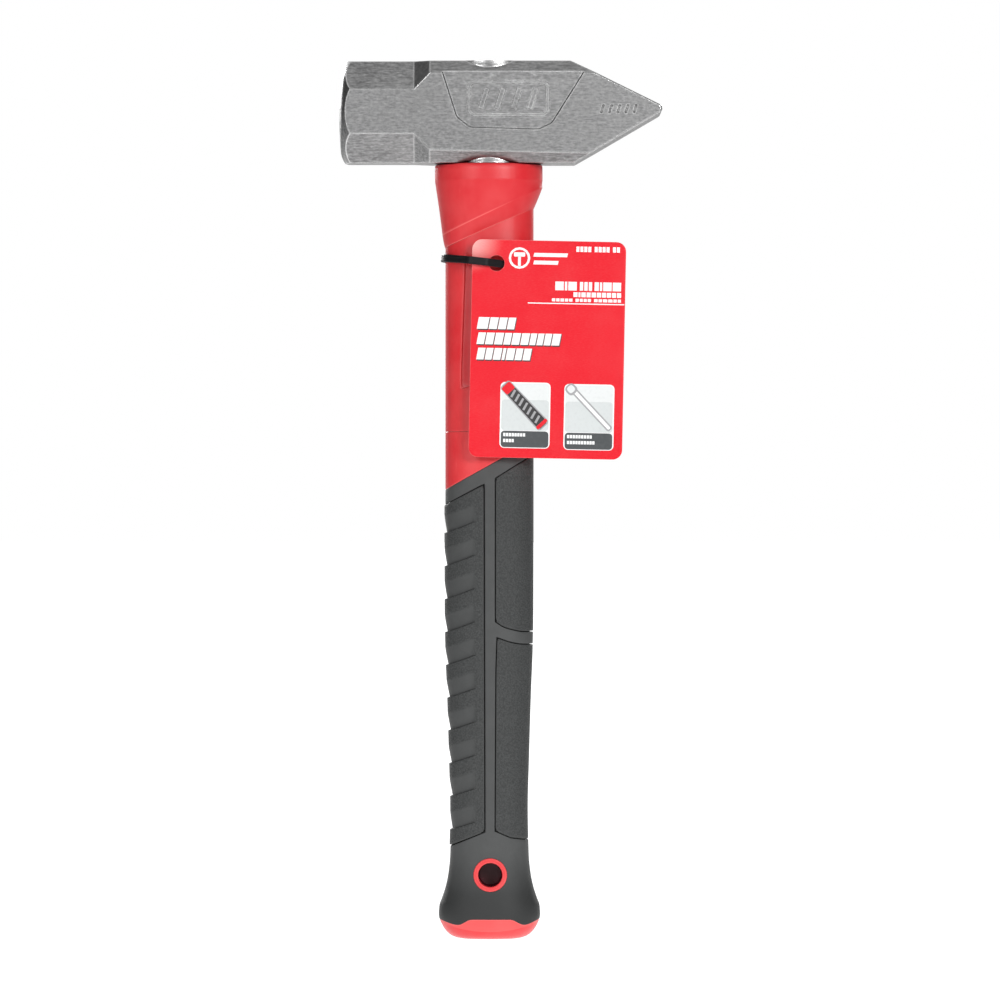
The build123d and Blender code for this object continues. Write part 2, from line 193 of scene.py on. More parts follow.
class Tree(Nodes):
    """One material's node tree, with its shader and the textures that the finishes are made of."""

    def __init__(self, material: bpy.types.Material) -> None:
        """Empties the material's tree and gives it a Principled shader.

        Args:
            material: the material to build in.
        """
        super().__init__(material)
        self.shader = self.add("ShaderNodeBsdfPrincipled")
        self.output = self.add("ShaderNodeOutputMaterial", inputs={"Surface": self.shader.outputs[0]})
        self._place: Optional[bpy.types.NodeSocket] = None

    def place(self) -> bpy.types.NodeSocket:
        """Finds the point on the piece, with one node for the whole tree.

        Returns:
            Its place in the row frame at rest.
        """
        if self._place is None:
            self._place = self.add("ShaderNodeTexCoord").outputs["Object"]
        return self._place

    def stretched(self, scale: Sequence[float]) -> bpy.types.NodeSocket:
        """The point, scaled along each axis.

        Args:
            scale: cells per metre along X, Y and Z.

        Returns:
            A vector socket for a texture.
        """
        inputs = {"Vector": self.place(), "Scale": tuple(scale)}
        return self.add("ShaderNodeMapping", inputs=inputs).outputs[0]

    def noise(self, scale: Sequence[float], detail: float = 3.0, rough: float = 0.55) -> Shade:
        """Soft noise, mostly between 0.3 and 0.7.

        Args:
            scale: cells per metre along X, Y and Z.
            detail: octaves.
            rough: strength of each octave beside the last.

        Returns:
            The noise.
        """
        node = self.add("ShaderNodeTexNoise", inputs={
            "Vector": self.stretched(scale), "Scale": 1.0, "Detail": detail, "Roughness": rough})
        return Shade(self, node.outputs["Fac"])

    def cells(self, scale: float, feature: str = "F1") -> Shade:
        """Distance inside Voronoi cells.

        Args:
            scale: cells per metre.
            feature: the distance that is measured.

        Returns:
            The distance in cells.
        """
        inputs = {"Vector": self.place(), "Scale": scale}
        node = self.add("ShaderNodeTexVoronoi", {"feature": feature}, inputs)
        return Shade(self, node.outputs["Distance"])

    def attribute(self, name: str) -> Shade:
        """A value stored on the mesh's points."""
        return Shade(self, self.add("ShaderNodeAttribute", {"attribute_name": name}).outputs["Fac"])

    def edges(self, radius: float) -> Shade:
        """How much the surface turns within a radius: 0 on flats, rising towards 1 on a sharp edge. The
        finishes pale edges with it: wear and painted highlight.

        Args:
            radius: how far from an edge counts, in metres.

        Returns:
            The edge mask.
        """
        bent = self.add("ShaderNodeBevel", {"samples": MASK_SAMPLES}, {"Radius": radius}).outputs["Normal"]
        flat = self.add("ShaderNodeNewGeometry").outputs["Normal"]
        dot = self.add("ShaderNodeVectorMath", {"operation": "DOT_PRODUCT"}, {0: bent, 1: flat})
        return (1 - Shade(self, dot.outputs["Value"])).step(*EDGE_BEND)

    def gap_shade(self, reach: float) -> Shade:
        """How shut in the surface is: 0 in the open, rising towards 1 in a narrow gap. The finishes darken
        with it: painted shade.

        Args:
            reach: how near another surface must be to count, in metres.

        Returns:
            The crevice mask.
        """
        sky = self.add("ShaderNodeAmbientOcclusion", {"samples": MASK_SAMPLES}, {"Distance": reach})
        return (1 - Shade(self, sky.outputs["AO"])).step(*GAP_SHUT)

    def height(self) -> Shade:
        """Z of the point, in metres."""
        return Shade(self, self.add("ShaderNodeSeparateXYZ", inputs={0: self.place()}).outputs["Z"])

    def mix(self, share: Term, first: Any, second: Any) -> bpy.types.NodeSocket:
        """A mix of two colours.

        Args:
            share: how much of the second.
            first: a colour, or a socket that carries one.
            second: a colour, or a socket that carries one.

        Returns:
            The mixed colour.
        """
        ends = [value if isinstance(value, bpy.types.NodeSocket) else (*value, 1.0)
                for value in (first, second)]
        node = self.add("ShaderNodeMix", {"data_type": "RGBA"}, {0: share, 6: ends[0], 7: ends[1]})
        return node.outputs[2]

    def surface(self, colour: Any, roughness: Term, metallic: float = 0.0, **constants: float) -> None:
        """Feeds the shader.

        Args:
            colour: the base colour's socket.
            roughness: a value or a number.
            metallic: 0 or 1.
            constants: other sockets of the shader, with spaces as underscores.
        """
        self.tree.links.new(colour, self.shader.inputs["Base Color"])
        if isinstance(roughness, Shade):
            self.tree.links.new(roughness.socket, self.shader.inputs["Roughness"])
        else:
            self.shader.inputs["Roughness"].default_value = roughness
        self.shader.inputs["Metallic"].default_value = metallic
        for name, value in constants.items():
            self.shader.inputs[name.replace("_", " ")].default_value = value

    def show(self, shader: bpy.types.NodeSocket) -> None:
        """Shows another shader in place of the Principled one."""
        self.tree.links.new(shader, self.output.inputs["Surface"])

    def relief(self, height: Shade, depth: float, strength: float = 1.0) -> None:
        """Bumps the surface.

        Args:
            height: 0 to 1.
            depth: metres between 0 and 1.
            strength: share of the bump that shows.
        """
        bump = self.add("ShaderNodeBump", inputs={"Height": height, "Distance": depth, "Strength": strength})
        self.tree.links.new(bump.outputs[0], self.shader.inputs["Normal"])


# -------------------------------------------------------------------- finishes


@dataclass(frozen=True)
class Finish:
    """What every finish has: a name, a slot of the record, and a way to paint a tree."""

    name: str
    slot: str

    def material(self) -> bpy.types.Material:
        """Makes the finish's material, the first time that it is asked for.

        Returns:
            The material.
        """
        made = bpy.data.materials.get(self.name)
        if made is None:
            made = bpy.data.materials.new(self.name)
            self.paint(Tree(made))
        return made

    def paint(self, tree: Tree) -> None:
        """Builds the finish in a tree.

        Args:
            tree: the material's tree.
        """
        raise NotImplementedError


@dataclass(frozen=True)
class GroundSteel(Finish):
    """Forged steel, belt-ground along X and tumbled: streaks, specks, edges pale with wear and painted
    highlight, painted gap shade.
    """

    base: Colour = (0.36, 0.36, 0.36)
    dark: Colour = (0.135, 0.135, 0.137)
    # bright: paler specks, and edges paled by wear and painted highlight; gap: the colour of painted shade in
    # gaps.
    bright: Colour = (0.78, 0.78, 0.78)
    gap: Colour = (0.045, 0.045, 0.045)
    streak: tuple[float, float] = (4.0 * MM, 0.6 * MM)
    speck: float = 1.0 * MM
    cloud: float = 11.0 * MM
    grain_depth: float = 0.06 * MM
    edge_reach: float = 0.9 * MM
    gap_reach: float = 1.0 * MM
    roughness: float = 0.38

    def paint(self, tree: Tree) -> None:
        """Builds the finish in a tree.

        Args:
            tree: the material's tree.
        """
        along, across = 1 / self.streak[0], 1 / self.streak[1]
        streaks = tree.noise((along, across, across), detail=3.0, rough=0.6)
        hairs = tree.noise((along * 2, across * 4, across * 4), detail=2.0)
        specks = tree.noise((0.6 / self.speck, 1 / self.speck, 1 / self.speck), detail=3.0, rough=0.7)
        cloud = tree.noise((1 / self.cloud,) * 3, detail=4.0, rough=0.6)
        pits = specks.step(0.62, 0.72)
        glints = specks.step(0.38, 0.28)
        worn_and_highlit = tree.edges(self.edge_reach)
        tone = (streaks.step(0.34, 0.66) * 0.40 + specks.step(0.38, 0.62) * 0.36 + hairs.step(0.3, 0.7) * 0.1
                + cloud.step(0.35, 0.65) * 0.14)
        colour = tree.mix(tone, self.base, self.dark)
        colour = tree.mix(pits * 0.40, colour, self.dark)
        # Paler specks, and edges paled by wear and painted highlight.
        colour = tree.mix(glints * 0.25 + worn_and_highlit * 0.8, colour, self.bright)
        # Painted shade: darker in gaps and corners.
        colour = tree.mix(tree.gap_shade(self.gap_reach) * 1.6, colour, self.gap)
        rough = self.roughness + (streaks.step(0.3, 0.7) - 0.5) * 0.12 + (cloud - 0.5) * 0.25 - worn_and_highlit * 0.12
        tree.surface(colour, rough, metallic=1.0)
        tree.relief(streaks * 0.6 + hairs * 0.3 + specks * 0.5, self.grain_depth, 0.8)


@dataclass(frozen=True)
class MouldedPlastic(Finish):
    """Hard moulded plastic with a fine spark-eroded skin and faint flow clouds.

    Its edges are pale with wear and painted highlight, it is pale where the mesh's painted highlight value
    says so, and it is darker with painted shade in gaps and where its painted shade value says so.
    """

    base: Colour = (0.66, 0.016, 0.024)
    # pale: flow clouds, scuffs, edges paled by wear and painted highlight, and painted sheen; dark: painted
    # shade.
    pale: Colour = (0.82, 0.13, 0.125)
    dark: Colour = (0.036, 0.0005, 0.006)
    roughness: float = 0.40
    skin_size: float = 0.30 * MM
    cloud_size: float = 16.0 * MM
    skin_depth: float = 0.03 * MM
    edge_reach: float = 0.6 * MM
    gap_reach: float = 1.0 * MM

    def paint(self, tree: Tree) -> None:
        """Builds the finish in a tree.

        Args:
            tree: the material's tree.
        """
        skin = tree.noise((1 / self.skin_size,) * 3, detail=2.0)
        cloud = tree.noise((1 / self.cloud_size,) * 3, detail=3.0)
        scuff = tree.noise((420.0, 420.0, 60.0), detail=3.0, rough=0.7).step(0.66, 0.78)
        worn_and_highlit = tree.edges(self.edge_reach)
        painted_sheen = tree.attribute("wear") * (0.8 + cloud * 0.4)
        colour = tree.mix(cloud.step(0.3, 0.7) * 0.22, self.base, self.pale)
        # Paler at edges (wear and painted highlight), at scuffs, and where the mesh paints a sheen.
        colour = tree.mix(worn_and_highlit * 0.5 + scuff * 0.2 + painted_sheen, colour, self.pale)
        # Painted shade: darker in gaps and where the mesh's value says so.
        colour = tree.mix(tree.gap_shade(self.gap_reach) * 0.7 + tree.attribute("grime"), colour, self.dark)
        rough = self.roughness + (skin - 0.5) * 0.16 + scuff * 0.12 + (cloud - 0.5) * 0.10
        tree.surface(colour, rough, Specular_IOR_Level=0.45)
        tree.relief(skin, self.skin_depth, 0.5)


@dataclass(frozen=True)
class Rubber(Finish):
    """Thermoplastic rubber: smooth and satin, or pebbled where the mesh's pebble value says so, with painted
    shade in gaps and between pebbles.
    """

    base: Colour = (0.062, 0.064, 0.064)
    # low: a darker tone towards the butt, and the painted shade between pebbles; gap: the colour of painted
    # shade in gaps.
    low: Colour = (0.020, 0.021, 0.021)
    gap: Colour = (0.006, 0.006, 0.006)
    roughness: float = 0.58
    dust_size: float = 7.0 * MM
    grain_size: float = 0.25 * MM
    grain_depth: float = 0.02 * MM
    pebble_size: float = 0.55 * MM
    pebble_depth: float = 0.09 * MM
    wander_size: float = 1.1 * MM
    gap_reach: float = 0.9 * MM
    pebbled: bool = False
    butt: tuple[float, float] = (-268 * MM, -292 * MM)

    def paint(self, tree: Tree) -> None:
        """Builds the finish in a tree.

        Args:
            tree: the material's tree.
        """
        dust = tree.noise((1 / self.dust_size,) * 3, detail=5.0, rough=0.65)
        fine = tree.noise((1 / self.grain_size,) * 3, detail=2.0)
        colour = tree.mix(dust.step(0.35, 0.75) * 0.30, self.base, tuple(c * 1.5 for c in self.base))
        # Darker towards the butt.
        colour = tree.mix(tree.height().step(*self.butt) * 0.85, colour, self.low)
        rough = self.roughness + (dust - 0.5) * 0.22 + (fine - 0.5) * 0.10
        height = fine * 0.35
        if self.pebbled:
            where = tree.attribute("pebble")
            grain = 1 - tree.cells(1 / self.pebble_size, "SMOOTH_F1").step(0.05, 0.75)
            wander = tree.noise((1 / self.wander_size,) * 3, detail=3.0)
            pebble = grain * 0.7 + wander * 0.6
            # Painted shade in the valleys between pebbles.
            colour = tree.mix(where * (1 - grain) * 0.8, colour, self.low)
            height = height + pebble * where * 1.6
            rough = rough + (1 - grain) * where * 0.12
        # Painted shade: darker in gaps and corners.
        colour = tree.mix(tree.gap_shade(self.gap_reach) * 0.9, colour, self.gap)
        tree.surface(colour, rough, Specular_IOR_Level=0.30)
        tree.relief(height, self.pebble_depth if self.pebbled else self.grain_depth, 0.9)


@dataclass(frozen=True)
class PrintedCard(Finish):
    """Printed and varnished card: solid colour over faint paper fibre, with a painted highlight where the
    mesh says so and edges pale with wear and painted highlight.
    """

    base: Colour = (0.74, 0.006, 0.018)
    pale: Colour = (0.96, 0.44, 0.42)
    roughness: float = 0.42
    fibre_size: tuple[float, float] = (1.1 * MM, 0.2 * MM)

    def paint(self, tree: Tree) -> None:
        """Builds the finish in a tree.

        Args:
            tree: the material's tree.
        """
        across, along = 1 / self.fibre_size[0], 1 / self.fibre_size[1]
        fibre = tree.noise((across, across, along), detail=3.0)
        cloud = tree.noise((45.0, 45.0, 45.0), detail=4.0)
        # Painted highlight, a glare, where the mesh's value says so.
        painted_sheen = tree.attribute("wear") * (0.75 + fibre * 0.5)
        worn_and_highlit = tree.edges(0.3 * MM)
        colour = tree.mix(fibre.step(0.35, 0.8) * 0.04 + cloud.step(0.4, 0.8) * 0.04, self.base, self.pale)
        # Paler at edges (wear and painted highlight) and where the mesh paints the glare.
        colour = tree.mix(worn_and_highlit * 0.3 + painted_sheen, colour, self.pale)
        tree.surface(colour, self.roughness + (cloud - 0.5) * 0.15, Specular_IOR_Level=0.22)
        tree.relief(fibre * 0.6 + cloud * 0.4, 0.02 * MM, 0.5)


@dataclass(frozen=True)
class Ink(Finish):
    """A flat layer of ink on the card, with a slight mottle."""

    base: Colour = (0.9, 0.9, 0.9)
    mottle: Colour = (0.8, 0.8, 0.8)

    def paint(self, tree: Tree) -> None:
        """Builds the finish in a tree.

        Args:
            tree: the material's tree.
        """
        spots = tree.noise((700.0, 700.0, 700.0), detail=3.0)
        colour = tree.mix(spots.step(0.45, 0.75) * 0.5, self.base, self.mottle)
        tree.surface(colour, 0.36 + (spots - 0.5) * 0.2)


@dataclass(frozen=True)
class Nylon(Finish):
    """Black moulded nylon with faint flow lines along the strap and edges pale with wear and painted
    highlight.
    """

    base: Colour = (0.005, 0.005, 0.006)
    pale: Colour = (0.030, 0.030, 0.032)

    def paint(self, tree: Tree) -> None:
        """Builds the finish in a tree.

        Args:
            tree: the material's tree.
        """
        flow = tree.noise((140.0, 140.0, 2600.0), detail=3.0)
        worn_and_highlit = tree.edges(0.25 * MM)
        # Edges paled by wear and painted highlight.
        colour = tree.mix(flow.step(0.45, 0.8) * 0.3 + worn_and_highlit * 0.5, self.base, self.pale)
        tree.surface(colour, 0.45 + (flow - 0.5) * 0.3, Specular_IOR_Level=0.22)
        tree.relief(flow, 0.02 * MM, 0.6)


@dataclass(frozen=True)
class CutFibre(Finish):
    """The sawn end of the glass-fibre rod: fibre ends as fine dots in amber resin."""

    base: Colour = (0.62, 0.50, 0.27)
    pale: Colour = (0.86, 0.80, 0.62)

    def paint(self, tree: Tree) -> None:
        """Builds the finish in a tree.

        Args:
            tree: the material's tree.
        """
        ends = tree.cells(1 / (0.35 * MM)).step(0.15, 0.5)
        saw = tree.noise((160.0, 2400.0, 160.0), detail=2.0)
        tree.surface(tree.mix(ends, self.pale, self.base), 0.5 + (saw - 0.5) * 0.3)
        tree.relief(saw * 0.6 + ends * 0.4, 0.04 * MM, 0.7)


@dataclass(frozen=True)
class CastResin(Finish):
    """Dark cast epoxy with small bubbles and a slight sink."""

    base: Colour = (0.030, 0.028, 0.026)
    pale: Colour = (0.12, 0.11, 0.10)

    def paint(self, tree: Tree) -> None:
        """Builds the finish in a tree.

        Args:
            tree: the material's tree.
        """
        bubbles = tree.cells(1 / (1.3 * MM)).step(0.16, 0.10)
        cloud = tree.noise((220.0, 220.0, 220.0), detail=3.0)
        tree.surface(tree.mix(cloud.step(0.4, 0.8) * 0.4, self.base, self.pale), 0.22 + (cloud - 0.5) * 0.25)
        tree.relief(cloud - bubbles, 0.08 * MM, 0.6)


@dataclass(frozen=True)
class FloorPaint(Finish):
    """The studio floor: a pale lit sheet that keeps a faint soft shadow and runs out into white.

    What the hammer sees of it is a pool of light, which fades with the distance.
    """

    base: Colour = (0.80, 0.80, 0.80)
    low: Colour = (0.78, 0.78, 0.78)
    near: float = 0.25
    far: float = 1.3
    glow: float = 1.42
    share: float = 0.80
    pool: tuple[float, float] = (0.60, 0.36)

    def paint(self, tree: Tree) -> None:
        """Builds the finish in a tree.

        Args:
            tree: the material's tree.
        """
        away = tree.add("ShaderNodeVectorMath", {"operation": "LENGTH"}, {0: tree.place()}).outputs["Value"]
        distance = Shade(tree, away)
        seen = Shade(tree, tree.add("ShaderNodeLightPath").outputs["Is Camera Ray"])
        grain = tree.noise((30.0, 30.0, 30.0), detail=2.0)
        tree.surface(tree.mix(grain * 0.1, self.base, self.low), 0.9, Specular_IOR_Level=0.1)
        light = tree.add("ShaderNodeEmission", inputs={"Color": WHITE, "Strength": self.glow})
        plain = distance.step(self.near, self.far) * (1 - self.share) + self.share
        factor = seen * plain + (1 - seen) * distance.step(*self.pool)
        shaders = {0: factor, 1: tree.shader.outputs[0], 2: light.outputs[0]}
        join = tree.add("ShaderNodeMixShader", inputs=shaders)
        tree.show(join.outputs[0])


STEEL = GroundSteel("ground_steel", "forged_steel")
RED = MouldedPlastic("red_moulding", "red_plastic")
CAP_RED = MouldedPlastic("cap_moulding", "cap_plastic", base=(0.68, 0.024, 0.030))
SMOOTH_RUBBER = Rubber("smooth_rubber", "grip_rubber")
PEBBLED_RUBBER = Rubber("pebbled_rubber", "pad_rubber", base=(0.054, 0.056, 0.056), low=(0.030, 0.032, 0.032),
                        pebbled=True)
CARD = PrintedCard("tag_card_red", "tag_card")
WHITE_INK = Ink("tag_ink_white", "tag_card", base=(0.88, 0.88, 0.88), mottle=(0.80, 0.78, 0.78))
DARK_INK = Ink("tag_ink_dark", "tag_card", base=(0.030, 0.028, 0.030), mottle=(0.05, 0.05, 0.05))
PALE_INK = Ink("tag_ink_pale", "tag_card", base=(0.74, 0.76, 0.76), mottle=(0.66, 0.68, 0.68))
SHADE_INK = Ink("tag_ink_shade", "tag_card", base=(0.62, 0.65, 0.65), mottle=(0.55, 0.58, 0.58))
SLATE_INK = Ink("tag_ink_slate", "tag_card", base=(0.060, 0.066, 0.070), mottle=(0.08, 0.085, 0.09))
GREY_INK = Ink("tag_ink_grey", "tag_card", base=(0.34, 0.34, 0.35), mottle=(0.42, 0.42, 0.42))
NYLON = Nylon("tie_nylon_black", "tie_nylon")
FIBRE = CutFibre("cut_fibreglass", "fiberglass")
RESIN = CastResin("cast_epoxy", "epoxy")
FLOOR = FloorPaint("studio_floor", "")


# ------------------------------------------------------------------ mesh tools


def mm(value: Any) -> Any:
    """Millimetres to metres, for a number or for points inside tuples."""
    return value * MM if isinstance(value, (int, float)) else tuple(mm(part) for part in value)


class Curve:
    """A line through chosen points, straight between them or smooth with no overshoot."""

    def __init__(self, points: Sequence[tuple[float, float]], smooth: bool = False) -> None:
        """Sorts the points and finds the slope at each.

        Args:
            points: pairs of place and value, in millimetres.
            smooth: True for a smooth curve.
        """
        ordered = sorted(mm(tuple(points)))
        self.places = [place for place, _ in ordered]
        self.values = [value for _, value in ordered]
        runs = list(zip(self.places, self.places[1:], self.values, self.values[1:]))
        self.secants = [(high - low) / (end - start) for start, end, low, high in runs]
        self.slopes: Optional[list[float]] = None
        if smooth:
            inner = [2 * a * b / (a + b) if a * b > 0 else 0.0
                     for a, b in zip(self.secants, self.secants[1:])]
            self.slopes = [self.secants[0], *inner, self.secants[-1]]

    def __call__(self, place: float) -> float:
        """The value at a place, level beyond the ends.

        Args:
            place: in metres.

        Returns:
            The value in metres.
        """
        place = min(max(place, self.places[0]), self.places[-1])
        index = min(bisect_right(self.places, place), len(self.places) - 1) - 1
        run = self.places[index + 1] - self.places[index]
        share = (place - self.places[index]) / run
        low, high = self.values[index], self.values[index + 1]
        if self.slopes is None:
            return low + share * (high - low)
        back = 1 - share
        return (low * back * back * (1 + 2 * share) + high * share * share * (3 - 2 * share)
                + run * share * back * (self.slopes[index] * back - self.slopes[index + 1] * share))


def roll(distance: float, radius: float) -> float:
    """How far a rounded edge has dropped.

    Args:
        distance: from the edge, inwards.
        radius: of the round.

    Returns:
        0 beyond the round, and the radius at the edge itself.
    """
    away = 1 - min(max(distance / radius, 0.0), 1.0)
    return radius * (1 - math.sqrt(1 - away * away))


def bulge(part: float, power: float) -> float:
    """A cosine or a sine raised to a power, with its sign kept, which makes a circle squarer."""
    return math.copysign(abs(part) ** power, part)


def past_corner(aside: float, beyond: float, radius: float) -> float:
    """Distance outside a rounded corner, negative inside it.

    Args:
        aside: distance past one edge.
        beyond: distance past the other edge.
        radius: of the corner.

    Returns:
        The distance.
    """
    aside += radius
    beyond += radius
    return math.hypot(max(aside, 0.0), max(beyond, 0.0)) + min(max(aside, beyond), 0.0) - radius


def ease(share: float) -> float:
    """A smooth step from 0 to 1."""
    share = min(max(share, 0.0), 1.0)
    return share * share * (3 - 2 * share)


def fractions(length: float, step: float, fine: Sequence[float] = (0.015, 0.09, 0.2, 0.36)) -> list[float]:
    """Places along a run, closer together at both ends, where edges are rounded.

    Args:
        length: of the run.
        step: wanted between places in the middle.
        fine: distances from each end, in millimetres.

    Returns:
        Shares of the run between 0 and 1, with neither end among them.
    """
    ends = [mm(value) / length for value in fine]
    count = max(2, round(length * (1 - 2 * ends[-1]) / step))
    middle = [ends[-1] + (1 - 2 * ends[-1]) * number / count for number in range(1, count)]
    return ends + middle + [1 - share for share in reversed(ends)]


def placed(name: str, data: Any) -> bpy.types.Object:
    """Makes an object and puts it in the scene.

    Args:
        name: the object's name.
        data: its mesh, light or camera.

    Returns:
        The new object.
    """
    made = bpy.data.objects.new(name, data)
    bpy.context.scene.collection.objects.link(made)
    return made


class Shell:
    """Points and faces of one piece, with named values on its points for the finishes to read."""

    def __init__(self) -> None:
        """Starts empty."""
        self.points: list[Vector] = []
        self.faces: list[tuple[int, ...]] = []
        self.values: dict[str, Sequence[float]] = {}

    def rows(self, rows: Rows) -> list[list[int]]:
        """Adds rows of points.

        Args:
            rows: lists of points.

        Returns:
            The number of each point.
        """
        numbered = []
        for row in rows:
            numbered.append(list(range(len(self.points), len(self.points) + len(row))))
            self.points.extend(row)
        return numbered

    def skin(self, rows: list[list[int]], around: bool, ends: bool = False) -> None:
        """Joins rows of numbered points with four-sided faces.

        Args:
            rows: the numbers, row by row.
            around: joins each row's last point to its first.
            ends: joins the last row to the first row.
        """
        for one, two in zip(rows, rows[1:] + rows[:1] if ends else rows[1:]):
            count = len(one)
            for index in range(count if around else count - 1):
                after = (index + 1) % count
                self.faces.append((one[index], one[after], two[after], two[index]))

    def ring(self, rows: Rows) -> None:
        """A closed ring: rows that run round, from the outside over an end to the inside and back."""
        self.skin(self.rows(rows), around=True, ends=True)

    def capsule(self, rows: Rows) -> None:
        """A closed body: rows that run round, closed by a fan at each end.

        Args:
            rows: the rings of points from one end to the other.
        """
        numbered = self.rows(rows)
        self.skin(numbered, around=True)
        for row, turned in ((numbered[0], True), (numbered[-1], False)):
            centre = len(self.points)
            self.points.append(sum((self.points[index] for index in row), Vector()) / len(row))
            for one, two in zip(row, row[1:] + row[:1]):
                self.faces.append((two, one, centre) if turned else (one, two, centre))

    def slab(self, front: Rows, back: Rows) -> None:
        """A closed slab between two grids of points with the same rows and columns.

        Args:
            front: the outer grid.
            back: the inner grid.
        """
        outer, inner = self.rows(front), self.rows(back)
        self.skin(outer, around=False)
        self.skin([list(reversed(row)) for row in inner], around=False)
        self.skin([inner[0], outer[0]], around=False)
        self.skin([outer[-1], inner[-1]], around=False)
        left = [[row[0] for row in outer], [row[0] for row in inner]]
        right = [[row[-1] for row in inner], [row[-1] for row in outer]]
        self.skin(left, around=False)
        self.skin(right, around=False)

    def build(self, name: str, sharp: float = SHARP) -> bpy.types.Object:
        """Makes the piece.

        Args:
            name: the piece's name.
            sharp: the angle in degrees above which an edge stays sharp.

        Returns:
            The new object, smooth shaded, with its faces turned outwards.
        """
        mesh = bpy.data.meshes.new(name)
        mesh.from_pydata([tuple(point) for point in self.points], [], self.faces)
        for value_name, values in self.values.items():
            layer = mesh.attributes.new(value_name, "FLOAT", "POINT")
            for index, value in enumerate(values):
                layer.data[index].value = value
        work = bmesh.new()
        work.from_mesh(mesh)
        bmesh.ops.recalc_face_normals(work, faces=work.faces)
        work.to_mesh(mesh)
        work.free()
        mesh.shade_smooth()
        mesh.set_sharp_from_angle(angle=math.radians(sharp))
        return placed(name, mesh)


def cut(piece: bpy.types.Object, tool: bpy.types.Object) -> None:
    """Cuts a tool's shape out of a piece, and removes the tool.

    Args:
        piece: the piece, whose mesh is exchanged for the cut one.
        tool: the closed shape to take away.
    """
    modifier = piece.modifiers.new("cut", "BOOLEAN")
    modifier.operation = "DIFFERENCE"
    modifier.solver = "EXACT"
    modifier.object = tool
    bpy.context.view_layer.update()
    evaluated = piece.evaluated_get(bpy.context.evaluated_depsgraph_get())
    made = bpy.data.meshes.new_from_object(evaluated)
    piece.modifiers.clear()
    piece.data = made
    made.set_sharp_from_angle(angle=math.radians(SHARP))
    bpy.data.objects.remove(tool)


def present(piece: bpy.types.Object, finish: Finish, body: str, *nodes: str) -> bpy.types.Object:
    """Dresses a piece, puts it on its body and reports it.

    Args:
        piece: the piece, in place.
        finish: what it is made of.
        body: the body that it rides on.
        nodes: the CAD nodes that it stands for.

    Returns:
        The piece.
    """
    piece.data.materials.clear()
    piece.data.materials.append(finish.material())
    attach(piece, body)
    if nodes:
        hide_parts(*nodes)
    log.info("%s: %d points, %s", piece.name, len(piece.data.vertices), finish.name)
    return piece


# ----------------------------------------------------------------- handle form


class Side(Enum):
    """The two edges of the handle that a pad can wrap round."""

    FINGER = -1
    PALM = 1


@dataclass(frozen=True)
class HandleForm:
    """An oval bar along Z whose half width and half depth change with height."""

    width: Curve
    depth: Curve
    power: float = 2.5

    def across(self, angle: float, height: float) -> float:
        """X of a point at an angle from +X."""
        cosine = math.cos(angle)
        return bulge(cosine, 2 / self.power) * self.width(height)

    def angle_at(self, across: float, height: float) -> float:
        """The angle, from 0 to pi, of the point with a given X."""
        share = min(max(across / self.width(height), -1.0), 1.0)
        return math.acos(bulge(share, self.power / 2))

    def front_at(self, across: float, height: float) -> float:
        """How far the front face stands from the handle's axis at a given X."""
        share = min(abs(across / self.width(height)), 1.0)
        return self.depth(height) * (1 - share ** self.power) ** (1 / self.power)

    def point(self, angle: float, height: float, level: float = 0.0) -> Vector:
        """A point on the form or beside it.

        Args:
            angle: from +X, towards the back.
            height: Z.
            level: distance outwards from the surface.

        Returns:
            The point.
        """
        half_width, half_depth = self.width(height), self.depth(height)
        x = self.across(angle, height)
        y = bulge(math.sin(angle), 2 / self.power) * half_depth
        out_x = bulge(x / half_width, self.power - 1) / half_width
        out_y = bulge(y / half_depth, self.power - 1) / half_depth
        reach = level / math.hypot(out_x, out_y)
        return Vector((x + out_x * reach, y + out_y * reach, height))


Line = Callable[[float], float]
Level = Callable[[float, float], float]


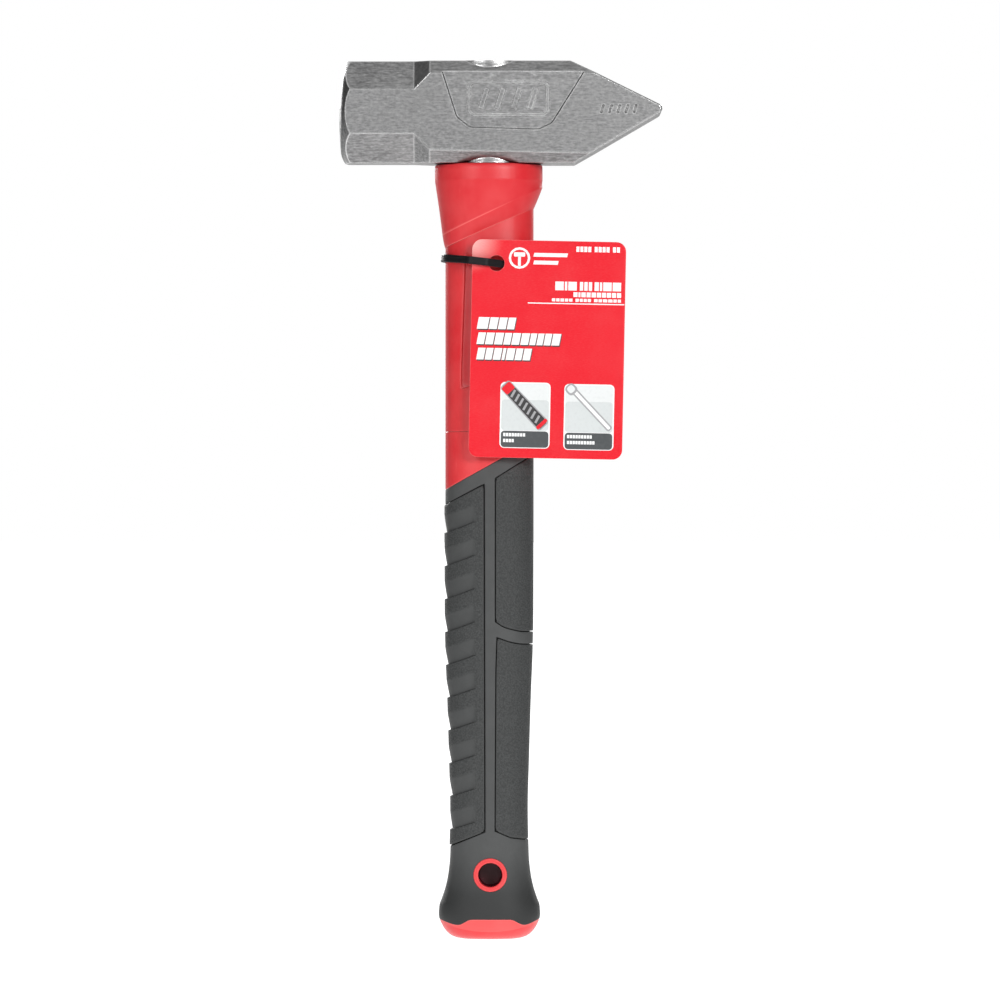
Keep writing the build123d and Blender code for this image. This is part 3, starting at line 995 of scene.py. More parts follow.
@dataclass
class Wrap:
    """A grid on a handle form. Its rows follow lines Z(X), and its columns follow seams X(Z)."""

    form: HandleForm
    lines: Sequence[Line]
    seams: Sequence[Line]
    row_step: float
    column_step: float
    side: Optional[Side] = None

    def edges(self, height: float) -> list[float]:
        """The angles of the seams at a height: all the way round, or over one side only.

        Args:
            height: Z.

        Returns:
            Angles in rising order.
        """
        angles = [self.form.angle_at(seam(height), height) for seam in self.seams]
        if self.side is Side.PALM:
            return [-angles[0], 0.0, angles[0]]
        if self.side is Side.FINGER:
            return [angles[0], math.pi, TURN - angles[0]]
        return [-math.pi, *(-angle for angle in angles), 0.0, *reversed(angles), math.pi]

    def columns(self) -> list[tuple[int, float]]:
        """Spaces the columns.

        Returns:
            Each column as the seam before it and its share of the way to the next seam.
        """
        height = (self.lines[0](0.0) + self.lines[-1](0.0)) / 2
        edges = self.edges(height)
        size = (self.form.width(height) + self.form.depth(height)) / 2
        made = []
        for index, (start, end) in enumerate(zip(edges, edges[1:])):
            made.extend((index, share) for share in fractions((end - start) * size, self.column_step))
        return made

    def row_places(self) -> list[tuple[int, float]]:
        """Spaces the rows.

        Returns:
            Each row as the line above it and its share of the way to the next line.
        """
        made = []
        for index, (upper, lower) in enumerate(zip(self.lines, self.lines[1:])):
            run = upper(0.0) - lower(0.0)
            made.extend((index, share) for share in fractions(run, self.row_step))
        return made

    def place(self, column: tuple[int, float], row: tuple[int, float]) -> tuple[float, float, float]:
        """Where a column meets a row.

        Args:
            column: from columns().
            row: from row_places().

        Returns:
            Angle, X and Z.
        """
        upper, lower = self.lines[row[0]], self.lines[row[0] + 1]
        height = upper(0.0) + row[1] * (lower(0.0) - upper(0.0))
        angle = across = 0.0
        for _ in range(5):
            edges = self.edges(height)
            angle = edges[column[0]] + column[1] * (edges[column[0] + 1] - edges[column[0]])
            across = self.form.across(angle, height)
            height = upper(across) + row[1] * (lower(across) - upper(across))
        return angle, across, height

    def rows(self, level: Level) -> Rows:
        """The grid's points.

        Args:
            level: the surface's level by X and Z.

        Returns:
            Rows of points.
        """
        columns = self.columns()
        made = []
        for row in self.row_places():
            places = [self.place(column, row) for column in columns]
            made.append([self.form.point(angle, height, level(across, height))
                         for angle, across, height in places])
        return made

    def loop(self, row: tuple[int, float], level: float, push: float = 0.0) -> list[Vector]:
        """One more row at a level of its own, such as an end face's inner edge.

        Args:
            row: as in row_places().
            level: the row's level.
            push: how far the row moves along Z.

        Returns:
            The row's points.
        """
        made = []
        for column in self.columns():
            angle, _, height = self.place(column, row)
            made.append(self.form.point(angle, height, level) + Vector((0, 0, push)))
        return made


def straight(value: float) -> Line:
    """A line at one value."""
    return lambda _: value


def shifted(line: Line, by: float) -> Line:
    """A line moved along by a distance."""
    return lambda place: line(place) + by


def slanted(centre: Sequence[float], degrees: float) -> Line:
    """A slanted line in the XZ plane: Z by X.

    Args:
        centre: X and Z of a point on it.
        degrees: its rise towards +X.

    Returns:
        The line.
    """
    slope = math.tan(math.radians(degrees))
    return lambda place: centre[1] + slope * (place - centre[0])


RUBBER_COSINE = 0.87            # turns a height above the rubber's slanted top edge into a distance from it
PAD_COSINE = 0.88               # the same for the pads' slanted ends


def handle_form() -> HandleForm:
    """The handle from the shaft to the butt."""
    return HandleForm(
        width=Curve(((0, 17.35), (-135, 17.35), (-172, 17.3), (-190, 17.05), (-208, 16.35), (-235, 15.55),
                     (-253, 15.1), (-272, 15.5), (-279, 16.2), (-284, 17.2), (-289, 18.8), (-291.5, 19.7),
                     (-295, 19.95), (-298.5, 19.3), (-302, 17.2)), smooth=True),
        depth=Curve(((0, 13.5), (-172, 13.5), (-208, 13.1), (-250, 12.6), (-272, 12.9), (-284, 13.8),
                     (-290, 15.2), (-295, 15.9), (-298.5, 15.8), (-302, 15.2)), smooth=True))


# ----------------------------------------------------------------------- pieces


@dataclass(frozen=True)
class Hoop:
    """A slanted oval ring: centre, rise towards +X, half sizes and roundness."""

    x: float
    z: float
    rise: float
    half_width: float
    half_depth: float
    power: float

    def between(self, other: "Hoop", share: float) -> "Hoop":
        """A hoop part of the way to another.

        Args:
            other: the hoop at share 1.
            share: from 0 to 1.

        Returns:
            The new hoop.
        """
        names = ("x", "z", "rise", "half_width", "half_depth", "power")
        return Hoop(*(getattr(self, name) * (1 - share) + getattr(other, name) * share for name in names))

    def loop(self, angles: Sequence[float], level: float = 0.0, push: float = 0.0) -> list[Vector]:
        """The hoop's points.

        Args:
            angles: of each point, from +X.
            level: how far outside the hoop they lie.
            push: how far they move along Z.

        Returns:
            The points.
        """
        made = []
        for angle in angles:
            across = bulge(math.cos(angle), 2 / self.power) * (self.half_width + level)
            y = bulge(math.sin(angle), 2 / self.power) * (self.half_depth + level)
            made.append(Vector((self.x + across, y, self.z + self.rise * across + push)))
        return made


@dataclass
class Guard:
    """The overstrike guard: a rim, a skirt that ends in a slanted band, and a sleeve with a recess."""

    form: HandleForm
    rim: Hoop = Hoop(mm(-0.3), mm(-6.6), 0.0, mm(21.2), mm(19.0), 2.15)
    rim_height: float = mm(6.5)
    rim_edge: float = mm(1.3)
    ridge: Hoop = Hoop(mm(1.15), mm(-18.7), 0.479, mm(19.66), mm(16.3), 2.3)
    band_end: Hoop = Hoop(0.0, mm(-25.2), 0.445, mm(17.5), mm(13.65), 2.5)
    # where the painted sheen on the ridges is full and where it has faded out, along X
    fade: tuple[float, float] = mm((13.0, -4.0))
    recess_top: float = mm(-35.8)
    recess_side: Curve = field(default_factory=lambda: Curve(((-36, 9.5), (-81, 11.1), (-89, 11.1))))
    recess_end: Line = field(default_factory=lambda: slanted(mm((0, -84.65)), 20.5))
    recess_end_cosine: float = 0.93
    recess_depth: float = mm(0.8)
    recess_corner: float = mm(1.6)
    recess_round: float = mm(0.5)
    seam: float = mm(-105.3)
    seam_round: float = mm(0.15)
    # how dark the painted shade in the recess is
    recess_shade: float = 0.10
    bore_level: float = mm(-6.4)
    neck: float = mm(5.5)           # how much further in the bore runs under the rim

    def level(self, across: float, height: float) -> float:
        """The sleeve's level: sunk in the recess, with rounded walls, and rolled in at the seam.

        Args:
            across: X.
            height: Z.

        Returns:
            The level.
        """
        aside = abs(across) - self.recess_side(height)
        beyond = max(height - self.recess_top, (self.recess_end(across) - height) * self.recess_end_cosine)
        outside = past_corner(aside, beyond, self.recess_corner)
        sunk = self.recess_depth * ease(0.5 - outside / self.recess_round)
        return -sunk - roll(height - self.seam, self.seam_round)

    def grime(self, point: Vector) -> float:
        """The painted shade on the guard: only in the recess.

        Args:
            point: on the guard.

        Returns:
            0 to 1.
        """
        if point.z > self.recess_top:
            return 0.0
        return self.recess_shade * min(-self.level(point.x, point.z) / self.recess_depth, 1.0)

    def build(self) -> None:
        """Makes the guard as one closed ring and dresses it."""
        side = self.recess_side
        lines = (lambda x: self.band_end.z + self.band_end.rise * x, straight(self.recess_top),
                 self.recess_end, straight(self.seam))
        sleeve = Wrap(self.form, lines, (lambda z: -side(z), side), row_step=mm(1.3), column_step=mm(1.1))
        columns = sleeve.columns()
        edges = sleeve.edges(self.recess_top)
        angles = [edges[index] + share * (edges[index + 1] - edges[index]) for index, share in columns]
        rows: Rows = []
        for share in (1.0, 0.85, 0.65, 0.4, 0.2, 0.05):
            rows.append(self.rim.loop(angles, -self.rim_edge * share,
                                      self.rim_height - roll(self.rim_edge * share, self.rim_edge)))
        for share in (0.25, 0.5, 0.75, 0.9, 0.97):
            rows.append(self.rim.loop(angles, 0.0, (self.rim_height - self.rim_edge) * (1 - share)))
        # Painted sheen along the two ridges.
        painted_sheen = {}
        for share in (*(step / 24 for step in range(1, 24)), 0.98, 1.0):
            painted_sheen[len(rows)] = max(1 - (1 - share) / 0.03, 0.0)
            hoop = self.rim.between(self.ridge, share)
            rows.append(hoop.loop(angles, mm(-0.12) * math.sin(math.pi * share)))
        for share in (0.05, *(step / 12 for step in range(1, 12)), 0.96, 1.0):
            painted_sheen[len(rows)] = 0.8 * max(1 - (1 - share) / 0.06, 0.0)
            hoop = self.ridge.between(self.band_end, share)
            rows.append(hoop.loop(angles, mm(0.10) * math.sin(math.pi * share)))
        rows.append(self.band_end.loop(angles, mm(-0.02), mm(-0.12)))
        rows.extend(sleeve.rows(self.level))
        bottom = sleeve.row_places()[-1]
        neck = self.bore_level - self.neck
        rows.append(sleeve.loop(bottom, mm(-1.2), mm(-0.02)))
        rows.append(sleeve.loop(bottom, self.bore_level))
        rows.append(self.rim.loop(angles, neck, mm(-20.0)))
        rows.append(self.rim.loop(angles, neck, self.rim_height - mm(0.4)))
        rows.append(self.rim.loop(angles, self.bore_level, self.rim_height - mm(0.02)))
        shell = Shell()
        shell.ring(rows)
        # The painted sheen fades out towards +X; the painted shade lies in the recess.
        first, last = self.fade
        shell.values["wear"] = [painted_sheen.get(number, 0.0) * ease((first - point.x) / (first - last))
                                for number, row in enumerate(rows) for point in row]
        shell.values["grime"] = [self.grime(point) for point in shell.points]
        present(shell.build("guard_moulding", sharp=30.0), RED, "hammer", "overstrike_guard")


@dataclass
class Jacket:
    """The red jacket: a short shaft down to the slanted edge of the rubber, and a bar inside the rubber."""

    form: HandleForm
    top: float = mm(-105.34)
    edge: Line = field(default_factory=lambda: slanted(mm((0, -118.5)), 29.0))
    round: float = mm(0.3)
    bar_level: float = mm(-4.2)
    bar_end: float = mm(-296.5)
    bar_places: tuple[float, ...] = mm((-150, -200, -250, -272, -286))
    bar_section: float = mm(-120)
    bore_level: float = mm(-6.4)

    def bar_row(self, angles: Sequence[float], level: float, height: float) -> list[Vector]:
        """One ring of the bar, which keeps one section all the way down.

        Args:
            angles: of each point, from +X.
            level: of the ring.
            height: Z of the ring.

        Returns:
            The ring's points.
        """
        down = Vector((0, 0, height - self.bar_section))
        return [self.form.point(angle, self.bar_section, level) + down for angle in angles]

    def build(self, eyelet: "Eyelet") -> None:
        """Makes the jacket as one closed ring, with the eyelet's hole in its bar.

        Args:
            eyelet: the lanyard eyelet that passes through.
        """
        wrap = Wrap(self.form, (straight(self.top), self.edge), (straight(0.0),), mm(0.9), mm(1.1))
        edge = self.edge
        rows = wrap.rows(lambda x, z: -roll(self.top - z, self.round)
                         - roll((z - edge(x)) * RUBBER_COSINE, self.round))
        places = wrap.row_places()
        rows.append(wrap.loop(places[-1], mm(-1.5)))
        rows.append(wrap.loop(places[-1], self.bar_level))
        angles = [wrap.place(column, places[0])[0] for column in wrap.columns()]
        for height in (*self.bar_places, self.bar_end):
            rows.append(self.bar_row(angles, self.bar_level, height))
        rows.append(self.bar_row(angles, self.bore_level, self.bar_end))
        rows.append(wrap.loop(places[0], self.bore_level))
        rows.append(wrap.loop(places[0], mm(-1.5)))
        shell = Shell()
        shell.ring(rows)
        piece = shell.build("jacket_moulding")
        cut(piece, eyelet.cutter())
        present(piece, RED, "hammer", "handle_jacket")


@dataclass(frozen=True)
class Pad:
    """The outline of a textured pad that wraps round one edge of the grip."""

    side: Side
    top: Line
    bottom: Line
    inner: Line
    corner: float = mm(1.0)

    def outside(self, across: float, height: float, corner: Optional[float] = None) -> float:
        """Distance outside the outline, negative inside it.

        Args:
            across: X.
            height: Z.
            corner: the radius of the outline's corners, if not the pad's own.

        Returns:
            The distance along the surface.
        """
        radius = self.corner if corner is None else corner
        aside = (self.inner(height) - across) * self.side.value
        beyond = max(height - self.top(across), self.bottom(across) - height) * PAD_COSINE
        return past_corner(aside, beyond, radius)


PAD_TOP = Curve(((-25, -138.2), (-2.2, -126.2), (2.4, -123.7), (25, -109.7)))
PAD_END = Curve(((-25, -271.8), (-1.9, -262.3), (2.3, -262.0), (8.4, -264.6), (13.9, -265.3), (25, -265.6)))
PALM_EDGE = Curve(((-110, 2.4), (-180, 2.4), (-186, 3.0), (-200, 2.6), (-262, 2.3)))
FINGER_EDGE = Curve(((-126, -2.2), (-262, -1.9)))
GAP_ABOVE = Curve(((2.4, -179.9), (5.2, -181.7), (8.4, -182.8), (13.9, -183.7), (25, -183.6)), smooth=True)
GAP_BELOW = Curve(((2.4, -186.0), (5.5, -187.2), (8.8, -188.2), (13.9, -188.9), (25, -188.7)), smooth=True)
RUBBER_TOP = slanted(mm((0, -118.5)), 29.0)
SCALLOPS = Curve(((-19.8, -297.0), (-12.4, -298.9), (-7.0, -296.75), (8.1, -296.75), (13.7, -298.9),
                  (19.9, -296.8)), smooth=True)
FINGER = Pad(Side.FINGER, PAD_TOP, PAD_END, FINGER_EDGE)
PALM_UPPER = Pad(Side.PALM, PAD_TOP, GAP_ABOVE, PALM_EDGE)
PALM_LOWER = Pad(Side.PALM, GAP_BELOW, PAD_END, PALM_EDGE)


@dataclass
class FingerPockets:
    """The row of shallow sawtooth pockets in the finger pad."""

    count: int = 10
    first: float = mm(-140.5)
    pitch: float = mm(13.1)
    height: float = mm(7.3)
    right: float = mm(-5.3)
    depth: float = mm(1.1)
    steep: float = 0.46
    flat: float = 0.35
    flat_at_edge: float = 0.29
    run: float = mm(12.0)
    side_round: float = mm(1.6)
    wall: float = mm(0.18)

    def low(self, number: int) -> Line:
        """The lower edge of one pocket: Z by X.

        Args:
            number: of the pocket, from the top.

        Returns:
            The line.
        """
        slope = self.steep + (self.flat - self.steep) * number / (self.count - 1)
        curve = (slope - self.flat_at_edge) / (2 * self.run)
        start = self.first - number * self.pitch

        def line(across: float) -> float:
            """Z of the pocket's lower edge."""
            away = max(self.right - across, mm(-4.0))
            return start - slope * away + curve * away * abs(away)

        return line

    def lines(self) -> list[Line]:
        """The edges of every pocket.

        Returns:
            Each pocket's upper and lower line, from the top down.
        """
        made: list[Line] = []
        for number in range(self.count):
            low = self.low(number)
            made += [shifted(low, self.height), low]
        return made

    def sunk(self, across: float, height: float) -> float:
        """How deep the pockets are at a point, from 0 to 1.

        Args:
            across: X.
            height: Z.

        Returns:
            The share of the full depth.
        """
        end = ease((self.right - across) / self.side_round)
        if end == 0.0:
            return 0.0
        for number in range(self.count):
            above = height - self.low(number)(across)
            if -self.wall < above < self.height:
                ramp = (1 - max(above, 0.0) / self.height) ** 1.25
                return end * ramp * ease(1 + min(above, 0.0) / self.wall)
        return 0.0


@dataclass
class Grip:
    """The rubber grip: a body with sunk beds, and three pads that lie in them with a fine gap all round."""

    form: HandleForm
    gap: float = mm(0.24)
    bed: float = mm(1.3)
    lip: float = mm(0.3)
    pad_round: float = mm(0.35)
    finger_proud: float = mm(0.4)
    wall: float = mm(3.6)
    pockets: FingerPockets = field(default_factory=FingerPockets)

    def body_level(self, across: float, height: float) -> float:
        """The body's level: sunk under the pads, rolled at every edge.

        Args:
            across: X.
            height: Z.

        Returns:
            The level.
        """
        outside = min(pad.outside(across, height, 0.0) for pad in (FINGER, PALM_UPPER, PALM_LOWER)) - self.gap
        if outside < 0:
            return -self.bed
        ends = min((RUBBER_TOP(across) - height) * RUBBER_COSINE, height - SCALLOPS(across))
        return -roll(outside, self.lip) - roll(ends, self.lip)

    def build_body(self, eyelet: "Eyelet") -> None:
        """Makes the grip's body as one closed ring, with the eyelet's hole.

        Args:
            eyelet: the lanyard eyelet.
        """
        gap = self.gap
        rise = gap / PAD_COSINE
        lines = (RUBBER_TOP, shifted(PAD_TOP, rise), shifted(GAP_ABOVE, -rise), shifted(GAP_BELOW, rise),
                 shifted(PAD_END, -rise), SCALLOPS)
        wrap = Wrap(self.form, lines, (shifted(FINGER_EDGE, gap), shifted(PALM_EDGE, -gap)), mm(0.9), mm(0.9))
        rows = wrap.rows(self.body_level)
        places = wrap.row_places()
        rows.append(wrap.loop(places[-1], mm(-1.2)))
        rows.append(wrap.loop(places[-1], -self.wall))
        for index in range(len(lines) - 2, 0, -1):
            rows.append(wrap.loop((index, 0.3), -self.wall))
        rows.append(wrap.loop(places[0], -self.wall))
        rows.append(wrap.loop(places[0], mm(-1.2)))
        shell = Shell()
        shell.ring(rows)
        piece = shell.build("grip_rubber")
        cut(piece, eyelet.cutter())
        present(piece, SMOOTH_RUBBER, "hammer", "grip_body")

    def build_pad(self, name: str, node: str, pad: Pad, lines: Sequence[Line], level: Level,
                  pebble: Level) -> None:
        """Makes one pad as a closed slab.

        Args:
            name: the piece's name.
            node: the CAD node that it stands for.
            pad: its outline.
            lines: the lines that its rows follow.
            level: its level inside the rounded rim.
            pebble: how much pebble texture shows, from 0 to 1.
        """
        wrap = Wrap(self.form, lines, (pad.inner,), mm(0.8), mm(0.75), side=pad.side)
        columns = wrap.columns()
        floor = -self.bed + mm(0.05)
        shell = Shell()
        front: Rows = []
        back: Rows = []
        values: list[float] = []
        for place in wrap.row_places():
            outer, inner = [], []
            for column in columns:
                angle, across, height = wrap.place(column, place)
                inside = -pad.outside(across, height)
                top = level(across, height) - roll(inside, self.pad_round)
                outer.append(self.form.point(angle, height, top if inside > mm(0.03) else floor + mm(0.3)))
                inner.append(self.form.point(angle, height, floor))
                values.append(pebble(across, height) * ease(inside / mm(0.5)))
            front.append(outer)
            back.append(inner)
        shell.slab(front, back)
        shell.values["pebble"] = values
        present(shell.build(name), PEBBLED_RUBBER, "hammer", node)

    def build(self, eyelet: "Eyelet") -> None:
        """Makes the body and the three pads.

        Args:
            eyelet: the lanyard eyelet.
        """
        self.build_body(eyelet)
        pockets = self.pockets
        self.build_pad("finger_pad", "finger_panel", FINGER, (PAD_TOP, *pockets.lines(), PAD_END),
                       lambda x, z: self.finger_proud - pockets.depth * pockets.sunk(x, z),
                       lambda x, z: 1 - ease(pockets.sunk(x, z) * 12))
        for name, node, pad in (("palm_pad_upper", "palm_panel_upper", PALM_UPPER),
                                ("palm_pad_lower", "palm_panel_lower", PALM_LOWER)):
            self.build_pad(name, node, pad, (pad.top, pad.bottom), lambda x, z: 0.0, lambda x, z: 1.0)


@dataclass
class Eyelet:
    """The lanyard eyelet: a lipped sleeve through the butt, closed half way by a thin web."""

    form: HandleForm
    x: float = mm(0.3)
    z: float = mm(-279.3)
    outer: float = mm(6.6)
    hole: float = mm(6.64)
    bore: float = mm(4.7)
    lip: float = mm(0.45)
    proud: float = mm(0.12)
    web: float = mm(0.6)
    steps: int = 96

    def cutter(self) -> bpy.types.Object:
        """Makes a closed cylinder that cuts the eyelet's hole through a piece.

        Returns:
            The cylinder, which cut() removes again.
        """
        shell = Shell()
        shell.capsule([self.flat_ring(self.hole, y) for y in (mm(-25), mm(25))])
        return shell.build("eyelet_cutter")

    def turns(self) -> list[float]:
        """The angles round the eyelet."""
        return [TURN * step / self.steps for step in range(self.steps)]

    def flat_ring(self, radius: float, y: float) -> list[Vector]:
        """A flat ring round the eyelet's axis.

        Args:
            radius: of the ring.
            y: where it lies.

        Returns:
            The ring's points.
        """
        return [Vector((self.x + radius * math.cos(turn), y, self.z + radius * math.sin(turn)))
                for turn in self.turns()]

    def ring_at(self, radius: float, back: float, side: int) -> list[Vector]:
        """A ring that follows the grip's face.

        Args:
            radius: of the ring.
            back: how far behind the eyelet's face it lies.
            side: -1 for the front and 1 for the back.

        Returns:
            The ring's points.
        """
        made = []
        for turn in self.turns():
            x, z = self.x + radius * math.cos(turn), self.z + radius * math.sin(turn)
            rim_x = self.x + self.outer * 0.8 * math.cos(turn)
            y = self.form.front_at(rim_x, z) + self.proud - back
            made.append(Vector((x, side * y, z)))
        return made

    def grime(self, point: Vector) -> float:
        """The painted shade in the eyelet: only inside, and most on the web.

        Args:
            point: on the eyelet.

        Returns:
            0 to 1.
        """
        aside = math.hypot(point.x - self.x, point.z - self.z)
        if aside > self.bore + mm(0.01):
            return 0.0
        sunk = self.form.front_at(self.x, self.z) - abs(point.y)
        return 0.93 * ease((sunk - mm(0.5)) / mm(3.5))

    def build(self) -> None:
        """Makes the eyelet as one closed body and dresses it."""
        half: list[tuple[float, float]] = [(self.outer, mm(3.0)), (self.outer, self.lip)]
        quarter = [math.radians(angle) for angle in (25, 50, 75, 90)]
        rolled = [(self.lip * (1 - math.cos(turn)), self.lip * (1 - math.sin(turn))) for turn in quarter]
        half += [(self.outer - inward, back) for inward, back in rolled]
        half += [(self.bore + inward, back) for inward, back in reversed(rolled)]
        half += [(self.bore, self.lip), (self.bore, mm(2.0)), (self.bore, mm(5.0)), (self.bore, mm(8.0))]
        corner = mm(0.5)
        web = [(mm(0.05), self.web), (mm(2.4), self.web), (self.bore - corner, self.web),
               (self.bore, self.web + corner)]
        rows: Rows = [self.flat_ring(radius, -y) for radius, y in web]
        rows.extend(self.ring_at(radius, back, -1) for radius, back in reversed(half))
        rows.extend(self.ring_at(radius, back, 1) for radius, back in half)
        rows.extend(self.flat_ring(radius, y) for radius, y in reversed(web))
        shell = Shell()
        shell.capsule(rows)
        # Painted shade inside the eyelet, deepest on the web.
        shell.values["grime"] = [self.grime(point) for point in shell.points]
        present(shell.build("lanyard_eyelet"), CAP_RED, "hammer", "lanyard_sleeve")


@dataclass
class ButtCap:
    """The red cap on the butt: a scalloped top edge, a crease, and a flat-domed bottom."""

    form: HandleForm
    inset: float = mm(0.16)
    crease_side: float = mm(-297.9)
    crease_middle: float = mm(-301.4)
    half_width: float = mm(18.9)
    bottom: float = mm(-304.75)
    squareness: float = 6.5
    hollow: float = mm(2.6)
    # how pale the painted sheen makes the cap's side above the crease
    painted_sheen: float = 0.45

    def crease(self, across: float) -> float:
        """Z of the crease by X."""
        share = min(abs(across) / self.half_width, 1.0)
        return self.crease_middle + (self.crease_side - self.crease_middle) * share * share

    def build(self) -> None:
        """Makes the cap as one closed body and dresses it."""
        top = shifted(SCALLOPS, mm(0.1))
        lines = (top, lambda x: min(self.crease(x), top(x) - mm(0.25)))
        wrap = Wrap(self.form, lines, (straight(0.0),), mm(0.5), mm(0.8))
        places = wrap.row_places()
        rows = [wrap.loop(places[0], -self.hollow - mm(2.0)), wrap.loop(places[0], mm(-0.6))]
        rows.extend(wrap.rows(lambda x, z: -self.inset))
        rim = rows[-1]
        above = sum(len(row) for row in rows)
        for inward in (0.012, 0.03, 0.055, 0.09, 0.13, 0.18, 0.24, 0.32, 0.42, 0.55, 0.7, 0.85, 0.97):
            share = 1 - inward
            fall = 1 - share ** self.squareness
            rows.append([Vector((point.x * share, point.y * share, point.z + (self.bottom - point.z) * fall))
                         for point in rim])
        shell = Shell()
        shell.capsule(rows)
        # Painted sheen on the rows above the crease.
        shell.values["wear"] = [self.painted_sheen if number < above else 0.0 for number in range(len(shell.points))]
        present(shell.build("butt_cap_moulding", sharp=30.0), CAP_RED, "hammer", "butt_cap")


